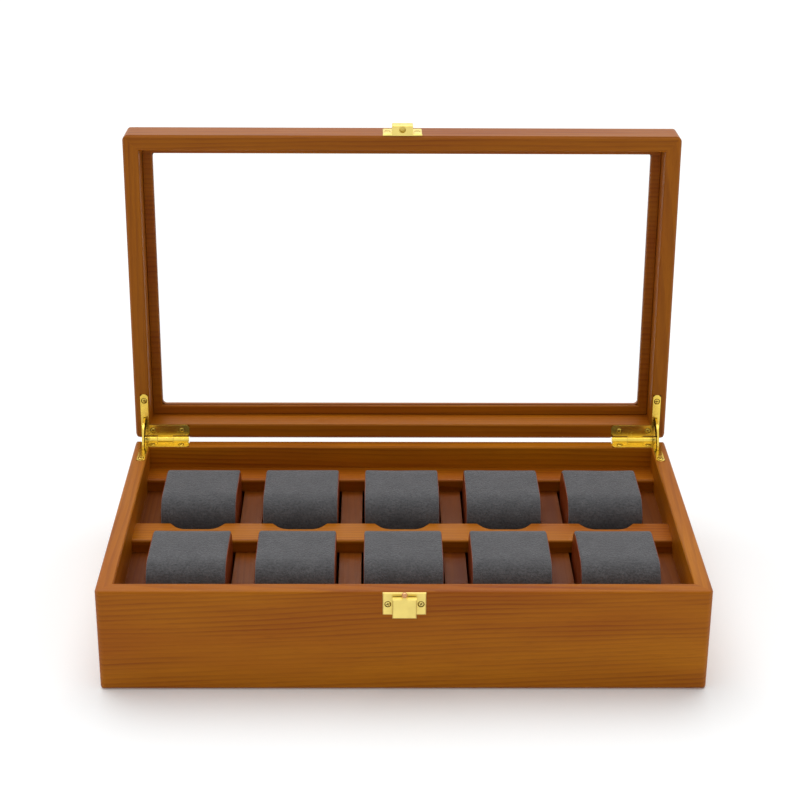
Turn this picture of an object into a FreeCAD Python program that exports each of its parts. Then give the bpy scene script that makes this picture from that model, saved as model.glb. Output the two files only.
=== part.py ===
"""Glazed wooden display case for ten watches, as a parametric document.

Frame: millimetres, +Z up, +X to the right, the front at -Y, origin at the centre of the underside.
The lid is drawn closed and then turned open about the hinge axis by open_angle.
"""
import math
import os
from types import SimpleNamespace

import FreeCAD
import Part
import Sketcher
from FreeCAD import Rotation, Vector

# Driving dimensions: name, millimetres or degrees, meaning
DRIVING = (
    ("case_width", 340.0, "outside width of base and lid"),
    ("case_depth", 198.0, "outside depth of base and lid"),
    ("base_height", 62.5, "height of the base walls"),
    ("lid_height", 24.0, "height of the lid frame"),
    ("wall", 9.5, "thickness of the walls of base and lid"),
    ("corner_round", 3.5, "rounding of the upright outer corners"),
    ("rim_round", 1.6, "rounding of the base's outer rim edges"),
    ("crown_round", 2.2, "rounding of the lid's upper outer edges"),
    ("foot_bevel", 1.6, "bevel of the base's lower outer edges"),
    ("lid_rim_bevel", 1.2, "bevel of the lid's outer rim edges"),
    ("inner_bevel", 0.7, "easing of the inner rim edges and beads"),
    ("closed_gap", 0.6, "gap between the rims when the lid is shut"),
    ("open_angle", 92.2, "opening of the lid at its stop"),
    ("bottom_thickness", 6.0, "bottom panel"),
    ("bottom_seat", 4.5, "depth of the rabbet for the bottom panel"),
    ("panel_play", 0.15, "play of a panel in its rabbet"),
    ("divider_width", 13.0, "cross dividers between the cells"),
    ("divider_height", 34.0, "cross dividers above the bottom panel"),
    ("row_divider_width", 8.0, "long divider between the two rows"),
    ("lap_play", 0.1, "play in the half laps"),
    ("rail_thickness", 8.0, "rails on top of the dividers"),
    ("centre_rail_width", 22.0, "rail between the rows"),
    ("side_rail_width", 18.2, "rails along the front and back walls"),
    ("rail_round", 1.5, "rounding of the rails' front edges"),
    ("notch_width", 33.0, "finger notch at the rail's edge"),
    ("notch_floor", 22.0, "finger notch at its deepest"),
    ("notch_depth", 7.6, "finger notch into the rail"),
    ("notch_round", 9.0, "rounding at the foot of the notch"),
    ("lip_width", 6.0, "lid lip that frames the glass"),
    ("lip_thickness", 2.6, "lid lip that frames the glass"),
    ("lip_round", 2.5, "inner corners of the lip"),
    ("glass_thickness", 2.0, "glass pane"),
    ("glass_play", 0.3, "play of the pane and of its beads"),
    ("bead_thickness", 1.4, "beads that hold the pane"),
    ("axis_out", 1.0, "hinge axis behind the back faces"),
    ("barrel_diameter", 4.8, "hinge barrel"),
    ("barrel_length", 30.0, "hinge barrel"),
    ("barrel_inset", 0.3, "outer end of the barrel from the leaf's outer edge"),
    ("pin_diameter", 2.2, "hinge pin"),
    ("pin_play", 0.04, "radial play of the pins in their bores"),
    ("knuckle_gap", 0.2, "play between two knuckles"),
    ("groove_play", 0.4, "room round the barrel in the wood"),
    ("leaf_thickness", 1.5, "hinge leaf"),
    ("leaf_inset", 3.6, "leaf from the outer side of the case"),
    ("leaf_width", 7.2, "width of a leaf's leg along the back wall"),
    ("arm_width", 5.0, "width of a leaf's leg along the side wall"),
    ("leaf_bevel", 1.5, "corners at the ends of the legs"),
    ("back_leg", 30.8, "length of the leg along the back wall"),
    ("side_leg", 31.0, "length of the leg along the side wall, from the axis"),
    ("mortise_play", 0.1, "room round a leaf in its mortise"),
    ("stay_radius", 14.0, "quadrant stay about the hinge axis"),
    ("stay_width", 2.4, "stay, across the arc"),
    ("stay_thickness", 1.2, "stay, along the axis"),
    ("stay_tail", 13.2, "angle of the stay past each leaf, to its stop bar"),
    ("stop_size", 2.0, "section of the stop bar at each end of the stay"),
    ("stop_length", 3.0, "stop bar, along the axis"),
    ("stay_play", 0.3, "room for the stay in slots and pockets"),
    ("screw_head", 3.8, "screw head, across its corners"),
    ("screw_sink", 0.9, "depth of the head, let in flush"),
    ("screw_shank", 2.0, "shank under the head, across its corners"),
    ("screw_length", 8.0, "screw, over the head"),
    ("screw_slot", 0.6, "width of the driver slot"),
    ("screw_play", 0.05, "room round a screw"),
    ("leg_screw_near", 7.4, "first screw of the back leg from the leaf's outer edge"),
    ("leg_screw_far", 25.8, "second screw of the back leg from the leaf's outer edge"),
    ("tip_screw", 4.4, "screw of the side leg from its tip"),
    ("latch_width", 24.0, "latch plate"),
    ("latch_height", 13.7, "latch plate"),
    ("latch_thickness", 1.2, "latch plate"),
    ("latch_drop", 0.3, "latch plate below the base rim"),
    ("latch_bevel", 0.5, "bevel of the latch plate and keeper"),
    ("latch_screw_pitch", 18.2, "between the latch screws"),
    ("button_width", 13.3, "latch flap"),
    ("button_height", 11.7, "latch flap"),
    ("button_drop", 2.3, "latch flap below the base rim"),
    ("button_out", 5.4, "front of the flap from the case front"),
    ("button_sheet", 1.1, "sheet of the flap"),
    ("button_clear", 1.9, "back edges of the flap from the case front"),
    ("button_bevel", 0.5, "edges of the flap's face"),
    ("pivot_out", 2.7, "flap pin from the case front"),
    ("pivot_drop", 5.5, "flap pin below the base rim"),
    ("flap_pin", 1.0, "diameter of the flap pin"),
    ("ear_thickness", 1.2, "ears of the latch plate"),
    ("ear_pitch", 5.4, "between the middles of the ears"),
    ("ear_reach", 1.1, "ears past the middle of the pin"),
    ("stud_diameter", 3.4, "catch stud on the flap"),
    ("stud_out", 3.7, "catch stud from the case front"),
    ("stud_rise", 1.6, "top of the stud above the base rim"),
    ("stud_tip", 1.1, "bevel at the top of the stud"),
    ("spring_width", 2.6, "leaf spring under the flap"),
    ("spring_thickness", 0.3, "leaf spring under the flap"),
    ("keeper_height", 14.6, "keeper plate"),
    ("keeper_rise", 0.8, "keeper above the lid rim"),
    ("keeper_box_width", 12.8, "raised box of the keeper"),
    ("keeper_box_height", 7.4, "raised box of the keeper"),
    ("keeper_box_out", 6.4, "raised box of the keeper from the lid front"),
    ("socket_play", 0.35, "radial room round the stud in the keeper"),
    ("socket_depth", 4.5, "socket in the keeper"),
    ("pillow_side_play", 1.65, "pillow from the dividers beside it"),
    ("pillow_end_play", 0.45, "pillow from the rails before and behind it"),
    ("pillow_height", 55.6, "pillow"),
    ("pillow_round", 14.0, "upper corners of the pillow"),
    ("pillow_foot", 6.0, "bevel of the lower corners of the pillow"),
    ("pillow_crown", 0.9, "swell of the cushion between its cheeks"),
    ("pillow_lift", 0.3, "pillow above the bottom panel"),
    ("cheek_thickness", 1.0, "wooden cheek at each end of the cushion"),
    ("cheek_inset", 1.3, "cushion past the outline of its cheeks"),
)
PILLOWS_PER_ROW = 5
KNUCKLES = 3
HEAD_SIDES = 12
SHANK_SIDES = 6
ROWS = (("rear", 1), ("front", -1))
SIDES = (("left", -1), ("right", 1))

doc = FreeCAD.newDocument("display_case")
nodes = []


class Size:
    """A number with the sheet formula that gives it."""

    def __init__(self, value, text):
        self.value = value
        self.text = text

    def __add__(self, other):
        other = as_size(other)
        return Size(self.value + other.value, f"({self.text} + {other.text})")

    def __sub__(self, other):
        other = as_size(other)
        return Size(self.value - other.value, f"({self.text} - {other.text})")

    def __mul__(self, other):
        other = as_size(other)
        return Size(self.value * other.value, f"({self.text} * {other.text})")

    def __truediv__(self, other):
        other = as_size(other)
        return Size(self.value / other.value, f"({self.text} / {other.text})")

    def __neg__(self):
        return Size(-self.value, f"(-1 * {self.text})")

    __radd__ = __add__
    __rmul__ = __mul__

    def __rsub__(self, other):
        return as_size(other) - self


def as_size(number):
    return number if isinstance(number, Size) else Size(float(number), f"({float(number)})")


def sine(angle):
    return Size(math.sin(math.radians(angle.value)), f"sin({angle.text} * 1 deg)")


def cosine(angle):
    return Size(math.cos(math.radians(angle.value)), f"cos({angle.text} * 1 deg)")


def driving_sheet():
    """Writes the driving dimensions into the sheet and returns them as sizes."""
    sheet = doc.addObject("Spreadsheet::Sheet", "Sizes")
    for row, (alias, number, meaning) in enumerate(DRIVING, start=1):
        sheet.set(f"A{row}", alias)
        sheet.set(f"B{row}", str(number))
        sheet.setAlias(f"B{row}", alias)
        sheet.set(f"C{row}", meaning)
    doc.recompute()
    return SimpleNamespace(**{
        alias: Size(float(sheet.get(alias)), f"Sizes.{alias}") for alias, _, _ in DRIVING})


def bind(item, prop, size):
    item.setExpression(prop, as_size(size).text)


def place(item, x=0, y=0, z=0):
    for axis, size in zip("xyz", (x, y, z)):
        bind(item, f"Placement.Base.{axis}", size)
    return item


def node(item, label):
    """Marks a finished sub-part, whose label names its file."""
    item.Label = label
    nodes.append(item)
    return item


# Part primitives and booleans

def slab(name, x, y, z):
    """Box between two planes on each axis."""
    box = doc.addObject("Part::Box", name)
    for prop, (low, high) in zip(("Length", "Width", "Height"), (x, y, z)):
        bind(box, prop, high - low)
    return place(box, x[0], y[0], z[0])


ALONG = {"x": Rotation(Vector(0, 1, 0), 90), "y": Rotation(Vector(1, 0, 0), -90), "z": Rotation()}


def rod(name, radius, length, start, along="z"):
    """Cylinder from a start point along an axis."""
    cylinder = doc.addObject("Part::Cylinder", name)
    cylinder.Placement.Rotation = ALONG[along]
    bind(cylinder, "Radius", radius)
    bind(cylinder, "Height", length)
    return place(cylinder, *start)


def fuse(name, items):
    if len(items) == 1:
        return items[0]
    result = doc.addObject("Part::MultiFuse", name)
    result.Shapes = items
    return result


def cut(name, base, tools):
    result = doc.addObject("Part::Cut", name)
    result.Base = base
    result.Tool = fuse(name + "_tools", tools)
    return result


def common(name, base, tool):
    result = doc.addObject("Part::Common", name)
    result.Base = base
    result.Tool = tool
    return result


def compound(name, items):
    result = doc.addObject("Part::Compound", name)
    result.Links = items
    return result


# Bodies, sketches and features

def body(name):
    return doc.addObject("PartDesign::Body", name)


def sketch(owner, name, role="XY_Plane", offset=0):
    plane = next(item for item in owner.Origin.OriginFeatures if item.Role == role)
    result = owner.newObject("Sketcher::SketchObject", name)
    result.AttachmentSupport = [(plane, "")]
    result.MapMode = "FlatFace"
    bind(result, "AttachmentOffset.Base.z", offset)
    return result


def pin_point(target, geometry, position, x, y):
    """Holds one point of a sketch at bound coordinates."""
    for kind, axis, size in (("DistanceX", -2, as_size(x)), ("DistanceY", -1, as_size(y))):
        if size.value == 0:
            target.addConstraint(Sketcher.Constraint("PointOnObject", geometry, position, axis))
            continue
        index = target.addConstraint(Sketcher.Constraint(kind, -1, 1, geometry, position, size.value))
        target.setExpression(f"Constraints[{index}]", size.text)


def outline(target, points):
    """Closed outline of straight lines through bound points."""
    first = target.GeometryCount
    corners = [Vector(as_size(x).value, as_size(y).value, 0) for x, y in points]
    count = len(points)
    for index in range(count):
        target.addGeometry(Part.LineSegment(corners[index], corners[(index + 1) % count]), False)
    for index, (x, y) in enumerate(points):
        following = first + (index + 1) % count
        target.addConstraint(Sketcher.Constraint("Coincident", first + index, 2, following, 1))
        pin_point(target, first + index, 1, x, y)


def rectangle(target, x, y):
    outline(target, ((x[0], y[0]), (x[1], y[0]), (x[1], y[1]), (x[0], y[1])))


def arched_outline(target, half, y, foot, head):
    """Symmetric outline with two bevelled corners at the foot and two rounded ones at the head."""
    corners = ((-half, y[0] + foot), (foot - half, y[0]), (half - foot, y[0]), (half, y[0] + foot))
    points = [Vector(px.value, py.value, 0) for px, py in corners]
    lines = [target.addGeometry(Part.LineSegment(start, end), False)
             for start, end in zip(points, points[1:])]
    arcs = []
    for sign, start in ((1, 0), (-1, 90)):
        centre = Vector(sign * (half - head).value, (y[1] - head).value, 0)
        circle = Part.Circle(centre, Vector(0, 0, 1), head.value)
        ends = math.radians(start), math.radians(start + 90)
        arcs.append(target.addGeometry(Part.ArcOfCircle(circle, *ends), False))
    ends = ((points[3], target.getPoint(arcs[0], 1)),
            (target.getPoint(arcs[0], 2), target.getPoint(arcs[1], 1)),
            (target.getPoint(arcs[1], 2), points[0]))
    sides = [target.addGeometry(Part.LineSegment(start, end), False) for start, end in ends]
    for index, (px, py) in enumerate(corners[:3]):
        pin_point(target, lines[index], 1, px, py)
    pin_point(target, lines[2], 2, *corners[3])
    for first, second in ((lines[0], lines[1]), (lines[1], lines[2]), (lines[2], sides[0]), (sides[2], lines[0])):
        target.addConstraint(Sketcher.Constraint("Coincident", first, 2, second, 1))
    for first, second in ((sides[0], arcs[0]), (arcs[0], sides[1]), (sides[1], arcs[1]), (arcs[1], sides[2])):
        target.addConstraint(Sketcher.Constraint("Tangent", first, 2, second, 1))
    for sign, arc in zip((1, -1), arcs):
        pin_point(target, arc, 3, sign * (half - head), y[1] - head)
        index = target.addConstraint(Sketcher.Constraint("Radius", arc, head.value))
        target.setExpression(f"Constraints[{index}]", head.text)


def pad(owner, profile, length):
    feature = owner.newObject("PartDesign::Pad", profile.Name + "_pad")
    feature.Profile = profile
    bind(feature, "Length", length)
    doc.recompute()
    return feature


def pocket(owner, profile, length):
    """Cut from the sketch along its normal."""
    feature = owner.newObject("PartDesign::Pocket", profile.Name + "_pocket")
    feature.Profile = profile
    feature.Reversed = True
    bind(feature, "Length", length)
    doc.recompute()
    return feature


def rounding(owner, name, size, chosen, kind="Fillet"):
    """Rounds or bevels the edges of the body whose middle points are chosen."""
    base = owner.Tip
    edges = [f"Edge{number}" for number, edge in enumerate(base.Shape.Edges, start=1)
             if chosen(edge, edge.BoundBox.Center)]
    feature = owner.newObject("PartDesign::" + kind, name)
    feature.Base = (base, edges)
    bind(feature, "Radius" if kind == "Fillet" else "Size", size)
    doc.recompute()
    return feature


def near(a, b):
    return abs(a - as_size(b).value) < 1e-4


def upright(edge):
    box = edge.BoundBox
    return box.ZLength > 1e-4 and box.XLength < 1e-4 and box.YLength < 1e-4


d = driving_sheet()

# Derived places
HALF_W = d.case_width / 2
HALF_D = d.case_depth / 2
IN_W = HALF_W - d.wall
IN_D = HALF_D - d.wall
RIM = d.base_height
LID_RIM = d.base_height + d.closed_gap
LID_TOP = LID_RIM + d.lid_height
AXIS_Y = HALF_D + d.axis_out
AXIS_Z = d.base_height + d.closed_gap / 2
BARREL_R = d.barrel_diameter / 2
LEAF_OUT = HALF_W - d.leaf_inset
LEAF_BACK = AXIS_Y - BARREL_R - d.groove_play
FLOOR = d.bottom_thickness
RAIL_FOOT = FLOOR + d.divider_height
RAIL_TOP = RAIL_FOOT + d.rail_thickness
PITCH = (2 * IN_W - d.divider_width) / PILLOWS_PER_ROW
ROW_Y = (d.centre_rail_width / 2 + IN_D - d.side_rail_width) / 2
PILLOW_WIDTH = PITCH - d.divider_width - 2 * d.pillow_side_play
PILLOW_DEPTH = IN_D - d.side_rail_width - d.centre_rail_width / 2 - 2 * d.pillow_end_play
FRONT = -HALF_D


def turn_open(item):
    """Turns a piece drawn in the closed lid about the hinge axis to the open stop."""
    item.Placement.Rotation = Rotation(Vector(-1, 0, 0), d.open_angle.value)
    bind(item, "Placement.Rotation.Angle", d.open_angle)
    sin_open, cos_open = sine(d.open_angle), cosine(d.open_angle)
    return place(item, 0, AXIS_Y - AXIS_Y * cos_open - AXIS_Z * sin_open,
                 AXIS_Z - AXIS_Z * cos_open + AXIS_Y * sin_open)


def across(hand, near_end, far_end):
    """Span on X between two distances from the middle, on the right or the left."""
    low, high = (near_end, far_end) if hand > 0 else (-far_end, -near_end)
    return low, high


# Screws

def screw_places():
    """Head places of the screws of one hinge leaf, as distances from the middle and places on Y."""
    leg_y = LEAF_BACK - d.leaf_width / 2
    return ((LEAF_OUT - d.leg_screw_near, leg_y), (LEAF_OUT - d.leg_screw_far, leg_y),
            (LEAF_OUT - d.arm_width / 2, AXIS_Y - d.side_leg + d.tip_screw))


POINTING = {"down": Rotation(), "up": Rotation(Vector(1, 0, 0), 180), "in": Rotation(Vector(1, 0, 0), 90)}


def prism(name, sides, radius, foot, head):
    """Upright prism with regular sides."""
    result = doc.addObject("Part::Prism", name)
    result.Polygon = sides
    bind(result, "Circumradius", radius)
    bind(result, "Height", head - foot)
    return place(result, 0, 0, foot)


def screw(name, direction, where, play=0):
    """Slotted screw with its head flush at a point; with play it is the tool for its stepped hole.

    Heads and shanks have flat sides, because they are small and repeat.
    """
    head = prism(name + "_head", HEAD_SIDES, d.screw_head / 2 + play, -d.screw_sink, as_size(0))
    shank = prism(name + "_shank", SHANK_SIDES, d.screw_shank / 2 + play, -d.screw_length - play, -d.screw_sink)
    solid = fuse(name + "_blank", [head, shank])
    if not isinstance(play, Size):
        half_slot = d.screw_slot / 2
        slot = slab(name + "_slot", (-d.screw_head, d.screw_head), (-half_slot, half_slot),
                    (-d.screw_slot, d.screw_slot))
        solid = cut(name, solid, [slot])
    solid.Placement.Rotation = POINTING[direction]
    return place(solid, *where)


def hinge_screws(name, direction, z, play=0):
    return [screw(f"{name}_{side}_{number}", direction, (hand * x, y, z), play)
            for side, hand in SIDES for number, (x, y) in enumerate(screw_places(), start=1)]


def plate_screws(name, out, z, play=0):
    return [screw(f"{name}_{side}", "in", (hand * d.latch_screw_pitch / 2, FRONT - out, z), play)
            for side, hand in SIDES]


# Rooms for the hinges in the rims

def hinge_rooms(name, z, pocket_z):
    """Mortise, barrel groove and stay pocket in a rim, on both sides."""
    play = d.mortise_play
    tools = []
    for side, hand in SIDES:
        label = f"{name}_{side}"
        back = across(hand, LEAF_OUT - d.back_leg - play, LEAF_OUT + play)
        arm = across(hand, LEAF_OUT - d.arm_width - play, LEAF_OUT + play)
        tools.append(slab(label + "_leg_mortise", back, (LEAF_BACK - d.leaf_width - play, AXIS_Y), z))
        tools.append(slab(label + "_arm_mortise", arm, (AXIS_Y - d.side_leg - play, AXIS_Y), z))
        barrel = across(hand, LEAF_OUT - d.barrel_inset - d.barrel_length - d.groove_play,
                        LEAF_OUT - d.barrel_inset + d.groove_play)
        tools.append(rod(label + "_groove", BARREL_R + d.groove_play, barrel[1] - barrel[0],
                         (barrel[0], AXIS_Y, AXIS_Z), "x"))
        stay = LEAF_OUT - d.arm_width / 2
        half = d.stop_length / 2 + d.stay_play
        reach = d.stay_radius + d.stay_width / 2 + 2 * d.stay_play
        inner = (d.stay_radius - d.stay_width / 2) * cosine(d.open_angle / 2 + d.stay_tail + 6)
        tools.append(slab(label + "_stay_pocket", across(hand, stay - half, stay + half),
                          (AXIS_Y - reach, AXIS_Y - inner), pocket_z))
    return tools


STAY_DEPTH = (d.stay_radius * sine(d.open_angle / 2 + d.stay_tail) + 0.75 * d.stop_size
              + 2 * d.stay_play)

# Mitred frames of base and lid

def mitre_wedges():
    """Upright prisms that part a rectangular frame into four mitred boards."""
    over = d.wall
    reach = d.wall + d.lip_width + d.wall
    wedges = {}
    for name, sign in (("front", -1), ("back", 1)):
        wedges[name] = ((-HALF_W - over, sign * (HALF_D + over)), (HALF_W + over, sign * (HALF_D + over)),
                        (HALF_W - reach, sign * (HALF_D - reach)), (reach - HALF_W, sign * (HALF_D - reach)))
    for name, sign in SIDES:
        wedges[name] = ((sign * (HALF_W + over), -HALF_D - over), (sign * (HALF_W + over), HALF_D + over),
                        (sign * (HALF_W - reach), HALF_D - reach), (sign * (HALF_W - reach), reach - HALF_D))
    result = {}
    for name, points in wedges.items():
        owner = body(f"mitre_{name}")
        profile = sketch(owner, f"mitre_{name}_outline", offset=-over)
        outline(profile, points)
        pad(owner, profile, LID_TOP + 2 * over)
        result[name] = owner
    return result


def on_outside(point):
    """True for a point on the outer faces of the frames, not on the inner ones."""
    return max(abs(point.x) - IN_W.value, abs(point.y) - IN_D.value) > d.wall.value / 2


def frame_blank(name, foot, height, foot_bevel, head_round):
    """Block that is the common part of its plan, side view and front view."""
    plan_block = body(name + "_plan_block")
    plan = sketch(plan_block, name + "_plan", offset=foot)
    rectangle(plan, (-HALF_W, HALF_W), (-HALF_D, HALF_D))
    pad(plan_block, plan, height)
    rounding(plan_block, name + "_corners", d.corner_round, lambda edge, middle: upright(edge))
    blank = plan_block
    views = (("side", "YZ_Plane", HALF_D, HALF_W), ("front", "XZ_Plane", HALF_W, HALF_D))
    for view, plane, half, reach in views:
        block = body(f"{name}_{view}_block")
        profile = sketch(block, f"{name}_{view}_view", plane, -reach)
        arched_outline(profile, half, (foot, foot + height), foot_bevel, head_round)
        pad(block, profile, 2 * reach)
        blank = common(f"{name}_{view}_common", blank, block)
    owner = body(name)
    owner.BaseFeature = blank
    doc.recompute()
    return owner


def hollow(owner, name, half_x, half_y, foot, depth):
    plan = sketch(owner, name, offset=foot)
    rectangle(plan, (-half_x, half_x), (-half_y, half_y))
    return pocket(owner, plan, depth)


def base_frame():
    owner = frame_blank("base_frame", as_size(0), d.base_height, d.foot_bevel, d.rim_round)
    hollow(owner, "base_inside", IN_W, IN_D, 0, d.base_height)
    rounding(owner, "base_inner_edges", d.inner_bevel,
             lambda edge, middle: near(middle.z, RIM) and not on_outside(middle), "Chamfer")
    hollow(owner, "bottom_rabbet", IN_W + d.bottom_seat, IN_D + d.bottom_seat, 0, d.bottom_thickness)
    return owner


def lid_frame():
    owner = frame_blank("lid_frame", LID_RIM, d.lid_height, d.lid_rim_bevel, d.crown_round)
    hollow(owner, "lid_inside", IN_W, IN_D, LID_RIM, d.lid_height - d.lip_thickness)
    rounding(owner, "lid_inner_edges", d.inner_bevel,
             lambda edge, middle: near(middle.z, LID_RIM) and not on_outside(middle), "Chamfer")
    open_w, open_d = IN_W - d.lip_width, IN_D - d.lip_width
    hollow(owner, "lid_opening", open_w, open_d, LID_RIM, d.lid_height)
    rounding(owner, "lid_opening_corners", d.lip_round,
             lambda edge, middle: upright(edge) and near(abs(middle.x), open_w))
    return owner


PLATE_TOP = RIM - d.latch_drop
PLATE_SCREW_Z = PLATE_TOP - d.latch_height / 2
KEEPER_FOOT = LID_RIM + d.keeper_rise
KEEPER_SCREW_Z = KEEPER_FOOT + d.keeper_height / 2

wedges = mitre_wedges()

base_tools = hinge_rooms("base", (RIM - d.leaf_thickness, RIM + d.wall), (AXIS_Z - STAY_DEPTH, RIM))
base_tools += hinge_screws("base_hole", "down", RIM, d.screw_play)
base_tools += plate_screws("latch_hole", d.latch_thickness, PLATE_SCREW_Z, d.screw_play)
base_cut = cut("base_frame_worked", base_frame(), base_tools)

lid_tools = hinge_rooms("lid", (RIM - d.wall, LID_RIM + d.leaf_thickness), (LID_RIM, AXIS_Z + STAY_DEPTH))
lid_tools += hinge_screws("lid_hole", "up", LID_RIM, d.screw_play)
lid_tools += plate_screws("keeper_hole", d.latch_thickness, KEEPER_SCREW_Z, d.screw_play)
lid_cut = cut("lid_frame_worked", lid_frame(), lid_tools)

for side, wedge in wedges.items():
    node(common(f"base_{side}_board", base_cut, wedge), f"base_{side}_wall")
for side, wedge in wedges.items():
    node(turn_open(common(f"lid_{side}_board", lid_cut, wedge)), f"lid_{side}_wall")

# Bottom panel, dividers and rails
panel_x = IN_W + d.bottom_seat - d.panel_play
panel_y = IN_D + d.bottom_seat - d.panel_play
node(slab("bottom_panel", (-panel_x, panel_x), (-panel_y, panel_y), (as_size(0), FLOOR)),
     "base_bottom_panel")


def divider_x(number):
    """Middle of a cross divider, counted from the left."""
    return (number - PILLOWS_PER_ROW / 2) * PITCH


def cell_x(number):
    """Middle of a cell, counted from the left."""
    return (number - (PILLOWS_PER_ROW - 1) / 2) * PITCH


def cross_divider(number):
    """Board from front to back, lapped over the row divider."""
    owner = body(f"cross_divider_body_{number + 1}")
    side_view = sketch(owner, f"cross_divider_side_{number + 1}", "YZ_Plane",
                       divider_x(number) - d.divider_width / 2)
    slot = d.row_divider_width / 2 + d.lap_play
    lap = FLOOR + d.divider_height / 2
    outline(side_view, ((-IN_D, FLOOR), (IN_D, FLOOR), (IN_D, RAIL_FOOT), (slot, RAIL_FOOT),
                        (slot, lap), (-slot, lap), (-slot, RAIL_FOOT), (-IN_D, RAIL_FOOT)))
    pad(owner, side_view, d.divider_width)
    node(owner, f"cross_divider_{number + 1}")


def row_divider():
    """Long board between the rows, notched from below at each cross divider."""
    half = d.row_divider_width / 2
    blank = slab("row_divider_blank", (-IN_W, IN_W), (-half, half), (FLOOR, RAIL_FOOT))
    lap = FLOOR + d.divider_height / 2
    reach = d.divider_width / 2 + d.lap_play
    laps = [slab(f"row_divider_lap_{number + 1}", (divider_x(number) - reach, divider_x(number) + reach),
                 (-half, half), (FLOOR, lap)) for number in range(PILLOWS_PER_ROW + 1)]
    node(cut("row_divider_board", blank, laps), "row_divider")


def rail(name, y, rounded, notched):
    """Rail across the dividers, with a rounded front edge and a finger notch at the back of each cell."""
    owner = body(name + "_body")
    plan = sketch(owner, name + "_plan", offset=RAIL_FOOT)
    rectangle(plan, (-IN_W, IN_W), y)
    pad(owner, plan, d.rail_thickness)
    if rounded:
        rounding(owner, name + "_edge", d.rail_round,
                 lambda edge, middle: near(middle.z, RAIL_TOP) and near(middle.x, 0) and near(middle.y, y[0]))
    if notched:
        notches = sketch(owner, name + "_notches", offset=RAIL_FOOT)
        mouth, foot = d.notch_width / 2, d.notch_floor / 2
        back, deep = y[1], y[1] - d.notch_depth
        for number in range(PILLOWS_PER_ROW):
            middle = cell_x(number)
            outline(notches, ((middle - mouth, back), (middle - foot, deep),
                              (middle + foot, deep), (middle + mouth, back)))
        pocket(owner, notches, d.rail_thickness)
        rounding(owner, name + "_notch_corners", d.notch_round,
                 lambda edge, middle: upright(edge) and near(middle.y, deep))
    node(owner, name)


for index in range(PILLOWS_PER_ROW + 1):
    cross_divider(index)
row_divider()
rail("rear_rail", (IN_D - d.side_rail_width, IN_D), True, False)
rail("centre_rail", (-d.centre_rail_width / 2, d.centre_rail_width / 2), True, True)
rail("front_rail", (-IN_D, d.side_rail_width - IN_D), False, True)

# Glass and beads
GLASS_TOP = LID_TOP - d.lip_thickness
BEAD_TOP = GLASS_TOP - d.glass_thickness
pane_x, pane_y = IN_W - d.glass_play, IN_D - d.glass_play


def pane():
    owner = body("pane")
    plan = sketch(owner, "pane_plan", offset=BEAD_TOP)
    rectangle(plan, (-pane_x, pane_x), (-pane_y, pane_y))
    pad(owner, plan, d.glass_thickness)
    node(turn_open(owner), "lid_glass")


def beads():
    """Four mitred strips that hold the pane against the lip."""
    owner = body("bead_frame")
    plan = sketch(owner, "bead_plan", offset=BEAD_TOP - d.bead_thickness)
    rectangle(plan, (-pane_x, pane_x), (-pane_y, pane_y))
    pad(owner, plan, d.bead_thickness)
    open_x, open_y = IN_W - d.lip_width, IN_D - d.lip_width
    hollow(owner, "bead_opening", open_x, open_y, BEAD_TOP - d.bead_thickness, d.bead_thickness)
    rounding(owner, "bead_edges", d.inner_bevel,
             lambda edge, middle: near(middle.z, BEAD_TOP - d.bead_thickness)
             and abs(middle.x) < open_x.value + 1e-3 and abs(middle.y) < open_y.value + 1e-3, "Chamfer")
    strips = [common(f"bead_{side}", owner, wedge) for side, wedge in wedges.items()]
    node(turn_open(compound("bead_strips", strips)), "glass_beads")


pane()
beads()

# Quadrant hinges

def knuckle_span(hand, number):
    """Span of one knuckle on X, counted from the outer end of the barrel."""
    step = d.barrel_length / KNUCKLES
    outer = LEAF_OUT - d.barrel_inset - number * step - d.knuckle_gap / 2
    return across(hand, outer - step + d.knuckle_gap, outer)


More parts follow.
